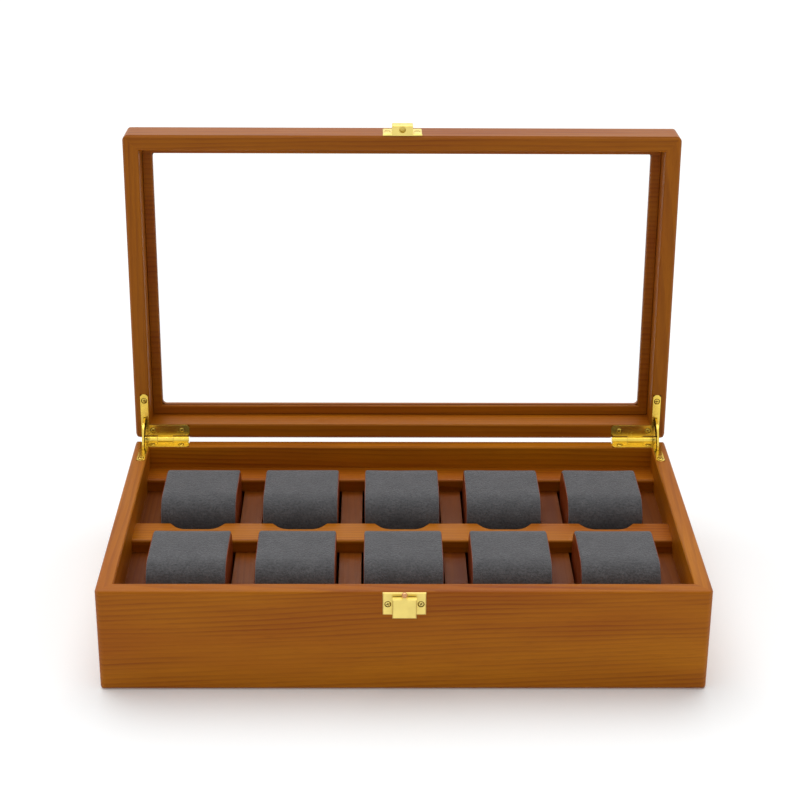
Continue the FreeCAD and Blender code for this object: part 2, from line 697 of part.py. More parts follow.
def hinge_leaf(side, hand, part, z, knuckles, screw_z, direction):
    """L-shaped leaf with its knuckles, stay slot and screw holes."""
    name = f"hinge_{side}_{part}_leaf"
    owner = body(name + "_plate")
    plan = sketch(owner, name + "_plan", offset=z[0])
    tip = AXIS_Y - d.side_leg
    inner = LEAF_BACK - d.leaf_width
    outline(plan, ((hand * LEAF_OUT, tip), (hand * LEAF_OUT, LEAF_BACK),
                   (hand * (LEAF_OUT - d.back_leg), LEAF_BACK), (hand * (LEAF_OUT - d.back_leg), inner),
                   (hand * (LEAF_OUT - d.arm_width), inner), (hand * (LEAF_OUT - d.arm_width), tip)))
    pad(owner, plan, d.leaf_thickness)
    rounding(owner, name + "_ends", d.leaf_bevel,
             lambda edge, middle: upright(edge) and (
                 near(middle.y, tip) or near(abs(middle.x), LEAF_OUT - d.back_leg)), "Chamfer")
    solids = [owner]
    for number in knuckles:
        x = knuckle_span(hand, number)
        solids.append(slab(f"{name}_tab_{number}", x, (LEAF_BACK, AXIS_Y - 0.6 * BARREL_R), z))
        solids.append(rod(f"{name}_knuckle_{number}", BARREL_R, x[1] - x[0], (x[0], AXIS_Y, AXIS_Z), "x"))
    stay = LEAF_OUT - d.arm_width / 2
    slot_x = d.stay_thickness / 2 + d.stay_play
    slot_y = d.stay_width / 2 + d.stay_play
    barrel = across(hand, LEAF_OUT - d.barrel_inset - d.barrel_length, LEAF_OUT - d.barrel_inset)
    tools = [rod(name + "_bore", d.pin_diameter / 2 + d.pin_play, d.barrel_length,
                 (barrel[0], AXIS_Y, AXIS_Z), "x"),
             slab(name + "_slot", across(hand, stay - slot_x, stay + slot_x),
                  (AXIS_Y - d.stay_radius - slot_y, AXIS_Y - d.stay_radius + slot_y), z)]
    tools += [screw(f"{name}_hole_{number}", direction, (hand * x, y, screw_z), d.screw_play)
              for number, (x, y) in enumerate(screw_places(), start=1)]
    return node(cut(name + "_solid", fuse(name + "_fused", solids), tools), name)


def hinge_pin(side, hand):
    barrel = across(hand, LEAF_OUT - d.barrel_inset - d.barrel_length, LEAF_OUT - d.barrel_inset)
    node(rod(f"hinge_{side}_rod", d.pin_diameter / 2, d.barrel_length, (barrel[0], AXIS_Y, AXIS_Z), "x"),
         f"hinge_{side}_pin")


def stay_stop(name, angle):
    """Square stop bar across the end of a stay, turned with the arc."""
    bar = doc.addObject("Part::Box", name)
    bar.Placement.Rotation = Rotation(Vector(0, 0, 1), angle.value)
    bind(bar, "Placement.Rotation.Angle", angle)
    for prop, size in (("Length", d.stop_size), ("Width", d.stop_size), ("Height", d.stop_length)):
        bind(bar, prop, size)
    half = d.stop_size / 2
    low = d.stay_radius - half
    return place(bar, low * cosine(angle) + half * sine(angle), low * sine(angle) - half * cosine(angle),
                 -d.stop_length / 2)


def hinge_stay(side, hand):
    """Arc through the slots of both leaves, with a stop bar at each end.

    Drawn about its own Z axis and then stood on the hinge axis, so that angles run from +Y to +Z.
    """
    name = f"hinge_{side}_stay"
    start = 180 - d.open_angle - d.stay_tail
    span = d.open_angle + 2 * d.stay_tail
    sector = rod(name + "_sector", d.stay_radius + d.stay_width / 2, d.stay_thickness,
                 (0, 0, -d.stay_thickness / 2))
    bind(sector, "Angle", span)
    sector.Placement.Rotation = Rotation(Vector(0, 0, 1), start.value)
    bind(sector, "Placement.Rotation.Angle", start)
    core = rod(name + "_core", d.stay_radius - d.stay_width / 2, d.stay_thickness,
               (0, 0, -d.stay_thickness / 2))
    solids = [cut(name + "_arc", sector, [core])]
    for number, angle in enumerate((start, start + span), start=1):
        solids.append(stay_stop(f"{name}_stop_{number}", angle))
    stay = fuse(name + "_solid", solids)
    stay.Placement.Rotation = Rotation(Vector(1, 1, 1), 120)
    place(stay, hand * (LEAF_OUT - d.arm_width / 2), AXIS_Y, AXIS_Z)
    node(stay, name)


for side, hand in SIDES:
    hinge_leaf(side, hand, "base", (RIM - d.leaf_thickness, RIM), range(0, KNUCKLES, 2), RIM, "down")
    turn_open(hinge_leaf(side, hand, "lid", (LID_RIM, LID_RIM + d.leaf_thickness), range(1, KNUCKLES, 2),
                         LID_RIM, "up"))
    hinge_pin(side, hand)
    hinge_stay(side, hand)
node(compound("base_screw_group", hinge_screws("base_screw", "down", RIM)), "hinge_base_screws")
node(turn_open(compound("lid_screw_group", hinge_screws("lid_screw", "up", LID_RIM))), "hinge_lid_screws")

# Latch on the base and keeper on the lid
PIVOT_Y = FRONT - d.pivot_out
PIVOT_Z = RIM - d.pivot_drop
BUTTON_TOP = RIM - d.button_drop


def bevelled_plate(name, half_x, z):
    """Flat plate on the case front with a bevelled face."""
    owner = body(name + "_sheet")
    face = sketch(owner, name + "_face", "XZ_Plane", -FRONT)
    rectangle(face, (-half_x, half_x), z)
    pad(owner, face, d.latch_thickness)
    rounding(owner, name + "_bevel", d.latch_bevel,
             lambda edge, middle: near(middle.y, FRONT - d.latch_thickness), "Chamfer")
    return owner


def latch_plate():
    solids = [bevelled_plate("latch_plate", d.latch_width / 2, (PLATE_TOP - d.latch_height, PLATE_TOP))]
    for side, hand in SIDES:
        x = across(hand, (d.ear_pitch - d.ear_thickness) / 2, (d.ear_pitch + d.ear_thickness) / 2)
        solids.append(slab(f"latch_ear_{side}", x, (PIVOT_Y - d.ear_reach, FRONT - d.latch_thickness / 2),
                           (PIVOT_Z - d.ear_reach, PIVOT_Z + d.ear_reach)))
    tools = plate_screws("latch_plate_hole", d.latch_thickness, PLATE_SCREW_Z, d.screw_play)
    tools.append(rod("latch_ear_bore", d.flap_pin / 2 + d.pin_play, d.latch_width,
                     (-d.latch_width / 2, PIVOT_Y, PIVOT_Z), "x"))
    node(cut("latch_plate_solid", fuse("latch_plate_fused", solids), tools), "latch_plate")


def latch_button():
    """Flap of folded sheet, open below, with the catch stud on its top web."""
    owner = body("latch_flap")
    plan = sketch(owner, "latch_flap_plan", offset=BUTTON_TOP - d.button_height)
    half = d.button_width / 2
    rectangle(plan, (-half, half), (FRONT - d.button_out, FRONT - d.button_clear))
    pad(owner, plan, d.button_height)
    rounding(owner, "latch_flap_edges", d.button_bevel,
             lambda edge, middle: near(middle.y, FRONT - d.button_out), "Chamfer")
    inside = sketch(owner, "latch_flap_inside", offset=BUTTON_TOP - d.button_height)
    rectangle(inside, (d.button_sheet - half, half - d.button_sheet),
              (FRONT - d.button_out + d.button_sheet, FRONT - d.button_clear))
    pocket(owner, inside, d.button_height - d.button_sheet)
    stud_top = RIM + d.stud_rise - d.stud_tip
    stud = rod("latch_stud", d.stud_diameter / 2, stud_top - BUTTON_TOP + d.button_sheet / 2,
               (0, FRONT - d.stud_out, BUTTON_TOP - d.button_sheet / 2))
    tip = doc.addObject("Part::Cone", "latch_stud_tip")
    bind(tip, "Radius1", d.stud_diameter / 2)
    bind(tip, "Radius2", d.stud_diameter / 2 - d.stud_tip)
    bind(tip, "Height", d.stud_tip)
    place(tip, 0, FRONT - d.stud_out, stud_top)
    bore = rod("latch_flap_bore", d.flap_pin / 2 + d.pin_play, d.button_width, (-half, PIVOT_Y, PIVOT_Z), "x")
    node(cut("latch_flap_solid", fuse("latch_flap_fused", [owner, stud, tip]), [bore]), "latch_button")


def latch_spring():
    """Leaf spring, flat on the plate and bent out over the pin to the flap's front sheet."""
    owner = body("latch_leaf_spring")
    side_view = sketch(owner, "latch_spring_side", "YZ_Plane", -d.spring_width / 2)
    thick = d.spring_thickness
    back = FRONT - d.latch_thickness
    foot, bend = PLATE_TOP - d.latch_height + d.latch_bevel * 2, PIVOT_Z + d.flap_pin
    tip_y = FRONT - d.button_out + d.button_sheet + 2 * thick
    tip_z = BUTTON_TOP - d.button_sheet - 2 * thick
    outline(side_view, ((back, foot), (back, bend), (tip_y, tip_z), (tip_y, tip_z - thick),
                        (back - thick, bend - thick), (back - thick, foot)))
    pad(owner, side_view, d.spring_width)
    node(owner, "latch_spring")


def keeper():
    plate = bevelled_plate("keeper_plate", d.latch_width / 2, (KEEPER_FOOT, KEEPER_FOOT + d.keeper_height))
    owner = body("keeper_box")
    plan = sketch(owner, "keeper_box_plan", offset=KEEPER_FOOT)
    half = d.keeper_box_width / 2
    rectangle(plan, (-half, half), (FRONT - d.keeper_box_out, FRONT))
    pad(owner, plan, d.keeper_box_height)
    rounding(owner, "keeper_box_edges", d.latch_bevel,
             lambda edge, middle: near(middle.y, FRONT - d.keeper_box_out), "Chamfer")
    tools = plate_screws("keeper_plate_hole", d.latch_thickness, KEEPER_SCREW_Z, d.screw_play)
    tools.append(rod("keeper_socket", d.stud_diameter / 2 + d.socket_play, d.socket_depth,
                     (0, FRONT - d.stud_out, KEEPER_FOOT)))
    node(turn_open(cut("keeper_solid", fuse("keeper_fused", [plate, owner]), tools)), "keeper_plate")


latch_plate()
latch_button()
node(rod("latch_rod", d.flap_pin / 2, d.button_width - 2 * d.panel_play,
         (d.panel_play - d.button_width / 2, PIVOT_Y, PIVOT_Z), "x"), "latch_pin")
latch_spring()
node(compound("latch_screw_group", plate_screws("latch_screw", d.latch_thickness, PLATE_SCREW_Z)),
     "latch_screws")
keeper()
node(turn_open(compound("keeper_screw_group",
                        plate_screws("keeper_screw", d.latch_thickness, KEEPER_SCREW_Z))), "keeper_screws")

# Watch pillows

def pillow_section(owner, name, offset, inset):
    """Section of a pillow across X, drawn in from its full size."""
    section = sketch(owner, name, "YZ_Plane", offset)
    arched_outline(section, PILLOW_DEPTH / 2 - inset, (as_size(inset), d.pillow_height - inset),
                   d.pillow_foot, d.pillow_round)
    return section


def pillow(row, back, number):
    """Cushion that swells between two wooden cheeks."""
    label = f"pillow_{row}_{number + 1}"
    where = (cell_x(number), back * ROW_Y, FLOOR + d.pillow_lift)
    half = PILLOW_WIDTH / 2
    seam = half - d.cheek_thickness
    cheeks = []
    for side, foot in (("left", -half), ("right", seam)):
        cheek = body(f"{label}_{side}_cheek")
        profile = pillow_section(cheek, f"{label}_{side}_outline", foot, d.cheek_inset + d.pillow_crown)
        pad(cheek, profile, d.cheek_thickness)
        cheeks.append(cheek)
    node(place(compound(label + "_pair", cheeks), *where), label + "_cheeks")

    cushion = body(label + "_padding")
    sections = [pillow_section(cushion, f"{label}_section_{place_name}", offset, inset)
                for place_name, offset, inset in (("left", -seam, d.pillow_crown),
                                                  ("middle", as_size(0), as_size(0)),
                                                  ("right", seam, d.pillow_crown))]
    loft = cushion.newObject("PartDesign::AdditiveLoft", label + "_swell")
    loft.Profile = sections[0]
    loft.Sections = sections[1:]
    loft.Ruled = True
    doc.recompute()
    node(place(cushion, *where), label + "_cushion")


for row, back in ROWS:
    for index in range(PILLOWS_PER_ROW):
        pillow(row, back, index)

doc.recompute()

# Checks and files
for item in doc.Objects:
    if "Invalid" in item.State or "Error" in item.State:
        raise RuntimeError(f"{item.Label}: {item.State}")

os.makedirs("parts", exist_ok=True)
for item in nodes:
    if item.Shape.isNull() or not item.Shape.isValid() or not item.Shape.Solids:
        raise RuntimeError(f"{item.Label}: no valid solid")
    item.Shape.exportStep(f"parts/{item.Label}.step")
print(len(nodes), "nodes")
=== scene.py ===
import math

import bmesh
import bpy
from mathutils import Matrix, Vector, noise


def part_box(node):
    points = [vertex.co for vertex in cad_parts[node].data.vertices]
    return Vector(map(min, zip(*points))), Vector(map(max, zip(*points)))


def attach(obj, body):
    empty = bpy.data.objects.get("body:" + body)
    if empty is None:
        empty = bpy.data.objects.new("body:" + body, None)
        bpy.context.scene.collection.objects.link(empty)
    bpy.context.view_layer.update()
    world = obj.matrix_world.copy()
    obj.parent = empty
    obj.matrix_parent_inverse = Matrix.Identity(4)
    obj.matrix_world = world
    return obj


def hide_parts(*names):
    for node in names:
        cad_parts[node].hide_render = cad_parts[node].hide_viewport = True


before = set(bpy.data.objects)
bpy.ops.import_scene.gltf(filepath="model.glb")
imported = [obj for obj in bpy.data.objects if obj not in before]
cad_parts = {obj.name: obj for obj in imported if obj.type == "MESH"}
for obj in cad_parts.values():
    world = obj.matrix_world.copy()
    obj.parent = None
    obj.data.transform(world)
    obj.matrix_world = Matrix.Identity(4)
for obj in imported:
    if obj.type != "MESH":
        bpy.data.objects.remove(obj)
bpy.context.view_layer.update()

bl_info = {
    "name": "Watch Display Case",
    "version": (1, 0, 0),
    "blender": (4, 5, 0),
    "location": "View3D > Sidebar > Watch Case",
    "description": "Dresses a ten-pillow wooden watch case with a glazed lid",
    "category": "Object",
}

MM = 0.001
X, Y, Z = range(3)
ROWS = ("rear", "front")
PLACES = (1, 2, 3, 4, 5)

# The open lid leans back past upright, and so do the ways that its rim and its front wall face

LID_LEAN = math.radians(2.2)
LID_RIM_WAY = (0.0, -math.cos(LID_LEAN), math.sin(LID_LEAN))
LID_FRONT_WAY = (0.0, math.sin(LID_LEAN), math.cos(LID_LEAN))

# Camera as in the photograph: its place in metres and its turn in degrees

CAMERA_PLACE = (-0.01497, -1.00896, 0.57095)
CAMERA_TURN = (66.5905, -0.3469, -0.5928)

# Wood figure: how each pattern is scaled along and across the grain, and how strongly it shows

RING_STRETCH = (0.16, 1.0, 1.0)
DRIFT_STRETCH = (5.0, 22.0, 22.0)
FIBRE_STRETCH = (14.0, 900.0, 900.0)
PORE_STRETCH = (60.0, 2400.0, 2400.0)
STREAK_STRETCH = (8.0, 130.0, 130.0)
GROWTH_LINES = 118.0
GROWTH_WAVINESS = 9.0
GROWTH_CONTRAST = 0.85
RUDDY_SHARE = 0.52
STRAND_SHARE = 0.20
PORE_SHARE = 0.22

# Modelling: what counts as one point, as a sliver, as near, as a sharp edge, and as along or across an axis

MERGE_METAL = 0.001 * MM
MERGE_COVER = 0.01 * MM
SLIVER = 0.0002 * MM
NEAR = 0.05 * MM
SHARP_TURN = math.radians(35.0)
ALONG = 0.9
ACROSS = 0.1

# Screw heads: how much of a CAD head its place is read from, and how far each is turned

HEAD_SLICE = 0.2 * MM
FIRST_TURN = 0.4
TURN_STEP = 0.55

# Latch flap: its web is drawn back towards the plate, and its stud is necked under a ball

WEB_HEIGHT = 3.5 * MM
WEB_SHIFT = 0.18 * MM
STUD_NECK = 0.55
STUD_DROP = 0.5 * MM
BALL_TOP_GAP = 0.1 * MM
BALL_FOOT = 0.7
BALL_COLLAR = 0.3

# Wraps: cuts through the rolled ends, how deep these roll, and the small dents of each copy

ROLL_CUTS = (0.12, 0.3, 0.6, 1.0)
ROLL_DEPTH = 0.9
COVER_FOOT_GAP = 0.2 * MM
HELD_WITHIN = 0.1 * MM
SWELL_STEPS = 20
DENT_DEPTH = 0.18 * MM
DENT_SPACING = 20.0 * MM
DENT_FADE = 6.0 * MM


def paint(red, green, blue):
    """A colour given as it looks on screen, 0 to 255, as the linear numbers that a shader takes."""
    linear = []
    for level in (red, green, blue):
        share = level / 255.0
        if share <= 0.04045:
            linear.append(share / 12.92)
        else:
            linear.append(((share + 0.055) / 1.055) ** 2.4)
    return tuple(linear)


def colour_property(name, description, default):
    return bpy.props.FloatVectorProperty(
        name=name, description=description, default=default,
        subtype="COLOR", size=3, min=0.0, max=1.0)


def length_property(name, description, default, low, high):
    return bpy.props.FloatProperty(
        name=name, description=description, default=default,
        min=low, max=high, precision=5, unit="LENGTH", subtype="DISTANCE")


class CaseSizes(bpy.types.PropertyGroup):
    """Lengths of the soft covers, the screw heads and the small rounded edges."""

    end_roll: length_property(
        "End roll", "Rounding of the wrap where it turns in to the wooden cheek",
        1.2 * MM, 0.4 * MM, 3.0 * MM)
    cover_swell: length_property(
        "Cover swell", "Furthest that the filling may push the cover outwards",
        1.1 * MM, 0.0, 3.0 * MM)
    cover_side_gap: length_property(
        "Cover side gap", "How far the wrap's end stays inside the wooden cheek",
        0.25 * MM, 0.0, 1.0 * MM)
    shoulder_radius: length_property(
        "Shoulder radius", "Rounding over the two upper edges of a pillow",
        14.0 * MM, 4.0 * MM, 20.0 * MM)
    foot_radius: length_property(
        "Foot radius", "Rounding under the two lower edges of a pillow",
        6.0 * MM, 1.0 * MM, 10.0 * MM)
    screw_radius: length_property(
        "Screw radius", "Radius of a screw head's crown",
        1.4 * MM, 0.5 * MM, 4.0 * MM)
    screw_seat: length_property(
        "Screw seat", "Radius of the sunk ring round a screw head's crown",
        1.85 * MM, 0.6 * MM, 5.0 * MM)
    screw_depth: length_property(
        "Screw depth", "Height of a screw head",
        0.7 * MM, 0.2 * MM, 2.0 * MM)
    screw_recess: length_property(
        "Screw sink", "How far a screw head's crown stays under the metal round it",
        0.06 * MM, -1.0 * MM, 1.0 * MM)
    ball_radius: length_property(
        "Ball radius", "Radius of the ball on the latch's catch stud",
        1.68 * MM, 0.5 * MM, 3.0 * MM)
    ball_back: length_property(
        "Ball setback", "Middle of the ball behind the front of the latch flap",
        1.7 * MM, 0.5 * MM, 4.0 * MM)
    metal_ease: length_property(
        "Metal ease", "Rounding of the edges of the hinges, the flap and the keeper",
        0.2 * MM, 0.05 * MM, 0.5 * MM)
    plate_ease: length_property(
        "Plate ease", "Rounding of the edges of the latch plate",
        0.15 * MM, 0.05 * MM, 0.5 * MM)


class CaseColours(bpy.types.PropertyGroup):
    """Finishes of the wood, the metal and the cloth, with painted shade on the dividers, the lid and the
    screw hollows.
    """

    wood_pale: colour_property(
        "Pale wood", "Wood between two growth lines", paint(188, 113, 7))
    wood_deep: colour_property(
        "Deep wood", "Wood along a growth line", paint(120, 58, 6))
    wood_ruddy: colour_property(
        "Ruddy wood", "Stained patches of the wood", paint(150, 67, 12))
    back_pale: colour_property(
        "Pale back wood", "Back wall between two growth lines", paint(195, 117, 8))
    # The lid's wood is darker than the case's: the lid's own browner tone, and painted shade on its inner
    # faces.
    lid_pale: colour_property(
        "Pale lid wood", "Lid between two growth lines", paint(174, 101, 7))
    lid_deep: colour_property(
        "Deep lid wood", "Lid along a growth line", paint(108, 48, 6))
    # Painted shade: the dividers' wood is darker than the case's, for the shade that falls on them down in
    # the tray.
    shaded_tray_pale: colour_property(
        "Pale tray wood", "Divider between two growth lines", paint(132, 69, 12))
    shaded_tray_deep: colour_property(
        "Deep tray wood", "Divider along a growth line", paint(92, 38, 8))
    cheek_pale: colour_property(
        "Pale cheek", "Pillow cheek between growth lines", paint(150, 66, 22))
    cheek_deep: colour_property(
        "Deep cheek", "Pillow cheek along a growth line", paint(100, 36, 12))
    hinge_brass: colour_property(
        "Hinge brass", "Plated metal of the hinges", paint(243, 211, 92))
    latch_brass: colour_property(
        "Latch brass", "Plated metal of the latch and its keeper", paint(238, 215, 124))
    stud_brass: colour_property(
        "Stud brass", "Ruddier metal of the latch's catch stud", paint(214, 158, 112))
    # Painted shade: a darker brass for the sunk ring and the cross of each screw head, standing in for the
    # shade in these hollows.
    recess_shade: colour_property(
        "Screw recess", "Painted shade on the metal in the ring round a screw head", paint(132, 100, 46))
    spring_steel: colour_property(
        "Spring steel", "Bare metal of the latch's spring", paint(190, 190, 192))
    suede: colour_property(
        "Microsuede", "Cloth over the pillows", paint(88, 88, 90))
    suede_worn: colour_property(
        "Brushed microsuede", "Cloth where the nap lies the other way", paint(108, 108, 110))


class StudioSettings(bpy.types.PropertyGroup):
    """Floor, light and camera."""

    floor: colour_property("Floor", "Pale floor under the case", (0.964, 0.981, 0.985))
    floor_lift: bpy.props.FloatProperty(
        name="Floor lift", description="How much paler the floor looks than the light makes it",
        default=0.07, min=0.0, max=1.0)
    dome_level: bpy.props.FloatProperty(
        name="Dome level", description="Light that comes evenly from all round",
        default=0.48, min=0.0, max=2.0)
    key_level: bpy.props.FloatProperty(
        name="Key level", description="Soft light from above and behind",
        default=1.95, min=0.0, max=6.0)
    lens: bpy.props.FloatProperty(
        name="Lens", description="Focal length of the camera in millimetres",
        default=85.2128, min=20.0, max=200.0)


def sizes():
    return bpy.context.scene.watch_case_sizes


def colours():
    return bpy.context.scene.watch_case_colours


def studio():
    return bpy.context.scene.watch_case_studio


# Shader helpers

def add(tree, kind, **values):
    """A node in a tree, with its plain attributes set."""
    node = tree.nodes.new(kind)
    for name, value in values.items():
        setattr(node, name, value)
    return node


def feed(tree, socket, term):
    """Gives an input its number or colour, or joins it to an output."""
    if isinstance(term, (int, float, tuple)):
        socket.default_value = term
    else:
        tree.links.new(term, socket)


def set_inputs(tree, node, terms):
    """Feeds the named inputs of a node."""
    for name, term in terms.items():
        feed(tree, node.inputs[name], term)


def maths(tree, operation, first, second):
    """A Math node's result. Each term is an output or a number."""
    node = add(tree, "ShaderNodeMath", operation=operation)
    feed(tree, node.inputs[0], first)
    feed(tree, node.inputs[1], second)
    return node.outputs[0]


def summed(tree, start, *parts):
    """A number plus each (level, weight) pair's product."""
    total = start
    for level, weight in parts:
        total = maths(tree, "ADD", maths(tree, "MULTIPLY", level, weight), total)
    return total


def mixed(tree, share, first, second):
    """A colour Mix node's result. Its colour sockets share their names with others, so they go by number."""
    node = add(tree, "ShaderNodeMix", data_type="RGBA")
    for place, term in ((0, share), (6, first), (7, second)):
        feed(tree, node.inputs[place], term)
    return node.outputs[2]


def tinted(tree, tone, mask, share, other):
    """A tone that turns to another where a mask is bright, by a share at most."""
    return mixed(tree, maths(tree, "MULTIPLY", mask, share), tone, other)


def ramp(tree, level, stops):
    """A ColorRamp of grey levels, given as (place, level) pairs."""
    node = add(tree, "ShaderNodeValToRGB")
    elements = node.color_ramp.elements
    while len(elements) < len(stops):
        elements.new(0.5)
    for element, (place, grey) in zip(elements, stops):
        element.position = place
        element.color = (grey, grey, grey, 1.0)
    feed(tree, node.inputs[0], level)
    return node.outputs[0]


def stretched(tree, vector, factors):
    """A vector with each axis multiplied."""
    node = add(tree, "ShaderNodeVectorMath", operation="MULTIPLY")
    feed(tree, node.inputs[0], vector)
    feed(tree, node.inputs[1], factors)
    return node.outputs[0]


def mottle(tree, vector, stops, scale=1.0, detail=2.0, roughness=0.5):
    """Noise as a grey level, its middle range spread by a ramp."""
    node = add(tree, "ShaderNodeTexNoise")
    set_inputs(tree, node, {"Vector": vector, "Scale": scale, "Detail": detail, "Roughness": roughness})
    return ramp(tree, node.outputs["Fac"], stops)


def relief(tree, height, strength, depth):
    """A Bump node's normal, for a height of a depth in metres."""
    node = add(tree, "ShaderNodeBump")
    set_inputs(tree, node, {"Height": height, "Strength": strength, "Distance": depth})
    return node.outputs["Normal"]


def new_group(name, inputs, outputs):
    """An empty shader group with sockets given as name and kind, and what goes in and comes out of it."""
    tree = bpy.data.node_groups.new(name, "ShaderNodeTree")
    for label, kind in inputs.items():
        tree.interface.new_socket(label, in_out="INPUT", socket_type=kind)
    for label, kind in outputs.items():
        tree.interface.new_socket(label, in_out="OUTPUT", socket_type=kind)
    source = add(tree, "NodeGroupInput")
    sink = add(tree, "NodeGroupOutput")
    return tree, source.outputs, sink


def placed_group(tree, name, maker, terms):
    """The outputs of a shared group, which is made the first time that a material needs it."""
    group = bpy.data.node_groups.get(name)
    if group is None:
        group = maker(name)
    node = add(tree, "ShaderNodeGroup")
    node.node_tree = group
    set_inputs(tree, node, terms)
    return node.outputs


def wood_grain_group(name):
    """Growth lines along X, with slow colour drift, fine fibres and short pores."""
    tree, given, sink = new_group(
        name,
        {"Vector": "NodeSocketVector", "Pale": "NodeSocketColor", "Deep": "NodeSocketColor",
         "Ruddy": "NodeSocketColor", "Contrast": "NodeSocketFloat"},
        {"Color": "NodeSocketColor", "Height": "NodeSocketFloat", "Roughness": "NodeSocketFloat"})
    vector = given["Vector"]
    rings = add(tree, "ShaderNodeTexWave", wave_type="RINGS", rings_direction="X", wave_profile="SAW")
    set_inputs(tree, rings, {
        "Vector": stretched(tree, vector, RING_STRETCH),
        "Scale": GROWTH_LINES,
        "Distortion": GROWTH_WAVINESS,
        "Detail": 3.0,
        "Detail Scale": 0.30,
        "Detail Roughness": 0.42,
    })
    line = ramp(
        tree, rings.outputs["Fac"],
        stops=((0.0, 0.12), (0.45, 0.3), (0.82, 0.95), (0.97, 0.75), (1.0, 0.15)))
    patch = mottle(
        tree, stretched(tree, vector, DRIFT_STRETCH), stops=((0.36, 0.0), (0.66, 1.0)), detail=3.0)
    strand = mottle(
        tree, stretched(tree, vector, FIBRE_STRETCH), stops=((0.3, 0.0), (0.7, 1.0)),
        detail=4.0, roughness=0.65)
    pore = mottle(
        tree, stretched(tree, vector, PORE_STRETCH), stops=((0.60, 0.0), (0.72, 1.0)), detail=1.0)
    streak = mottle(
        tree, stretched(tree, vector, STREAK_STRETCH), stops=((0.32, 0.25), (0.66, 1.0)), detail=2.0)

    weight = maths(tree, "MULTIPLY", line, given["Contrast"])
    weight = maths(tree, "MULTIPLY", weight, streak)
    weight = maths(tree, "MULTIPLY", weight, summed(tree, 0.5, (patch, 0.6)))
    tone = mixed(tree, weight, given["Pale"], given["Deep"])
    tone = tinted(tree, tone, patch, RUDDY_SHARE, given["Ruddy"])
    tone = tinted(tree, tone, strand, STRAND_SHARE, given["Deep"])
    tone = tinted(tree, tone, pore, PORE_SHARE, given["Deep"])
    set_inputs(tree, sink, {
        "Color": tone,
        "Height": summed(tree, 0.0, (strand, 0.5), (line, 0.35), (pore, -0.6)),
        "Roughness": summed(tree, 0.36, (strand, 0.08), (patch, 0.06)),
    })
    return tree


def speckle_group(name):
    """Fine marks and soft smudges, for the metal, the cloth and the glass."""
    tree, given, sink = new_group(
        name,
        {"Vector": "NodeSocketVector", "Fine Scale": "NodeSocketFloat", "Soft Scale": "NodeSocketFloat"},
        {"Fine": "NodeSocketFloat", "Soft": "NodeSocketFloat"})
    fine = mottle(
        tree, given["Vector"], stops=((0.33, 0.0), (0.67, 1.0)),
        scale=given["Fine Scale"], detail=3.0, roughness=0.7)
    soft = mottle(
        tree, given["Vector"], stops=((0.35, 0.0), (0.65, 1.0)),
        scale=given["Soft Scale"], detail=4.0)
    set_inputs(tree, sink, {"Fine": fine, "Soft": soft})
    return tree


def speckle(tree, place, fine_scale, soft_scale):
    """The fine marks and soft smudges of one material."""
    return placed_group(tree, "Surface speckle", speckle_group, {
        "Vector": place, "Fine Scale": fine_scale, "Soft Scale": soft_scale})


def blank_material(name):
    """A material with a Principled shader, and Object coordinates to hand."""
    material = bpy.data.materials.new(name)
    material.use_nodes = True
    tree = material.node_tree
    shader = tree.nodes["Principled BSDF"]
    place = add(tree, "ShaderNodeTexCoord")
    return material, tree, shader, place.outputs["Object"]


def opaque(colour):
    return (colour[0], colour[1], colour[2], 1.0)


def scaled(colour, factor):
    """A colour made darker or paler, no paler than white."""
    return tuple(min(1.0, channel * factor) for channel in colour)


TURN_FOR_GRAIN = {
    "X": (0.0, 0.0, 0.0),
    "Y": (0.0, 0.0, math.radians(-90.0)),
    "Z": (0.0, math.radians(90.0), 0.0),
}


def wood_material(name, grain, shift, tilt=0.0, contrast=GROWTH_CONTRAST, pale=None, deep=None, ruddy=None):
    """Satin-lacquered wood, its grain along one axis of the case."""
    material, tree, shader, place = blank_material(name)
    turn = add(tree, "ShaderNodeMapping")
    set_inputs(tree, turn, {"Vector": place, "Rotation": TURN_FOR_GRAIN[grain]})
    lay = add(tree, "ShaderNodeMapping")
    set_inputs(tree, lay, {
        "Vector": turn.outputs["Vector"], "Location": shift, "Rotation": (0.0, tilt, tilt)})
    figure = placed_group(tree, "Wood grain", wood_grain_group, {
        "Vector": lay.outputs["Vector"],
        "Pale": opaque(pale or colours().wood_pale),
        "Deep": opaque(deep or colours().wood_deep),
        "Ruddy": opaque(ruddy or colours().wood_ruddy),
        "Contrast": contrast,
    })
    set_inputs(tree, shader, {
        "Base Color": figure["Color"],
        "Roughness": figure["Roughness"],
        "Normal": relief(tree, figure["Height"], strength=0.12, depth=0.2 * MM),
        "Specular IOR Level": 0.11,
        "Coat Weight": 0.04,
        "Coat Roughness": 0.3,
    })
    return material


def metal_material(name, colour, roughness, wear):
    """Plated metal with fine rubbing marks and faint smudges."""
    material, tree, shader, place = blank_material(name)
    marks = speckle(tree, place, fine_scale=1400.0, soft_scale=170.0)
    # A darker tone that the faint smudges turn to.
    smudge_and_shade = scaled(colour, 0.72)
    set_inputs(tree, shader, {
        "Base Color": tinted(tree, opaque(colour), marks["Soft"], wear, opaque(smudge_and_shade)),
        "Roughness": summed(tree, roughness, (marks["Fine"], 0.07), (marks["Soft"], 0.06)),
        "Normal": relief(tree, marks["Fine"], strength=0.05, depth=0.1 * MM),
        "Metallic": 1.0,
    })
    return material


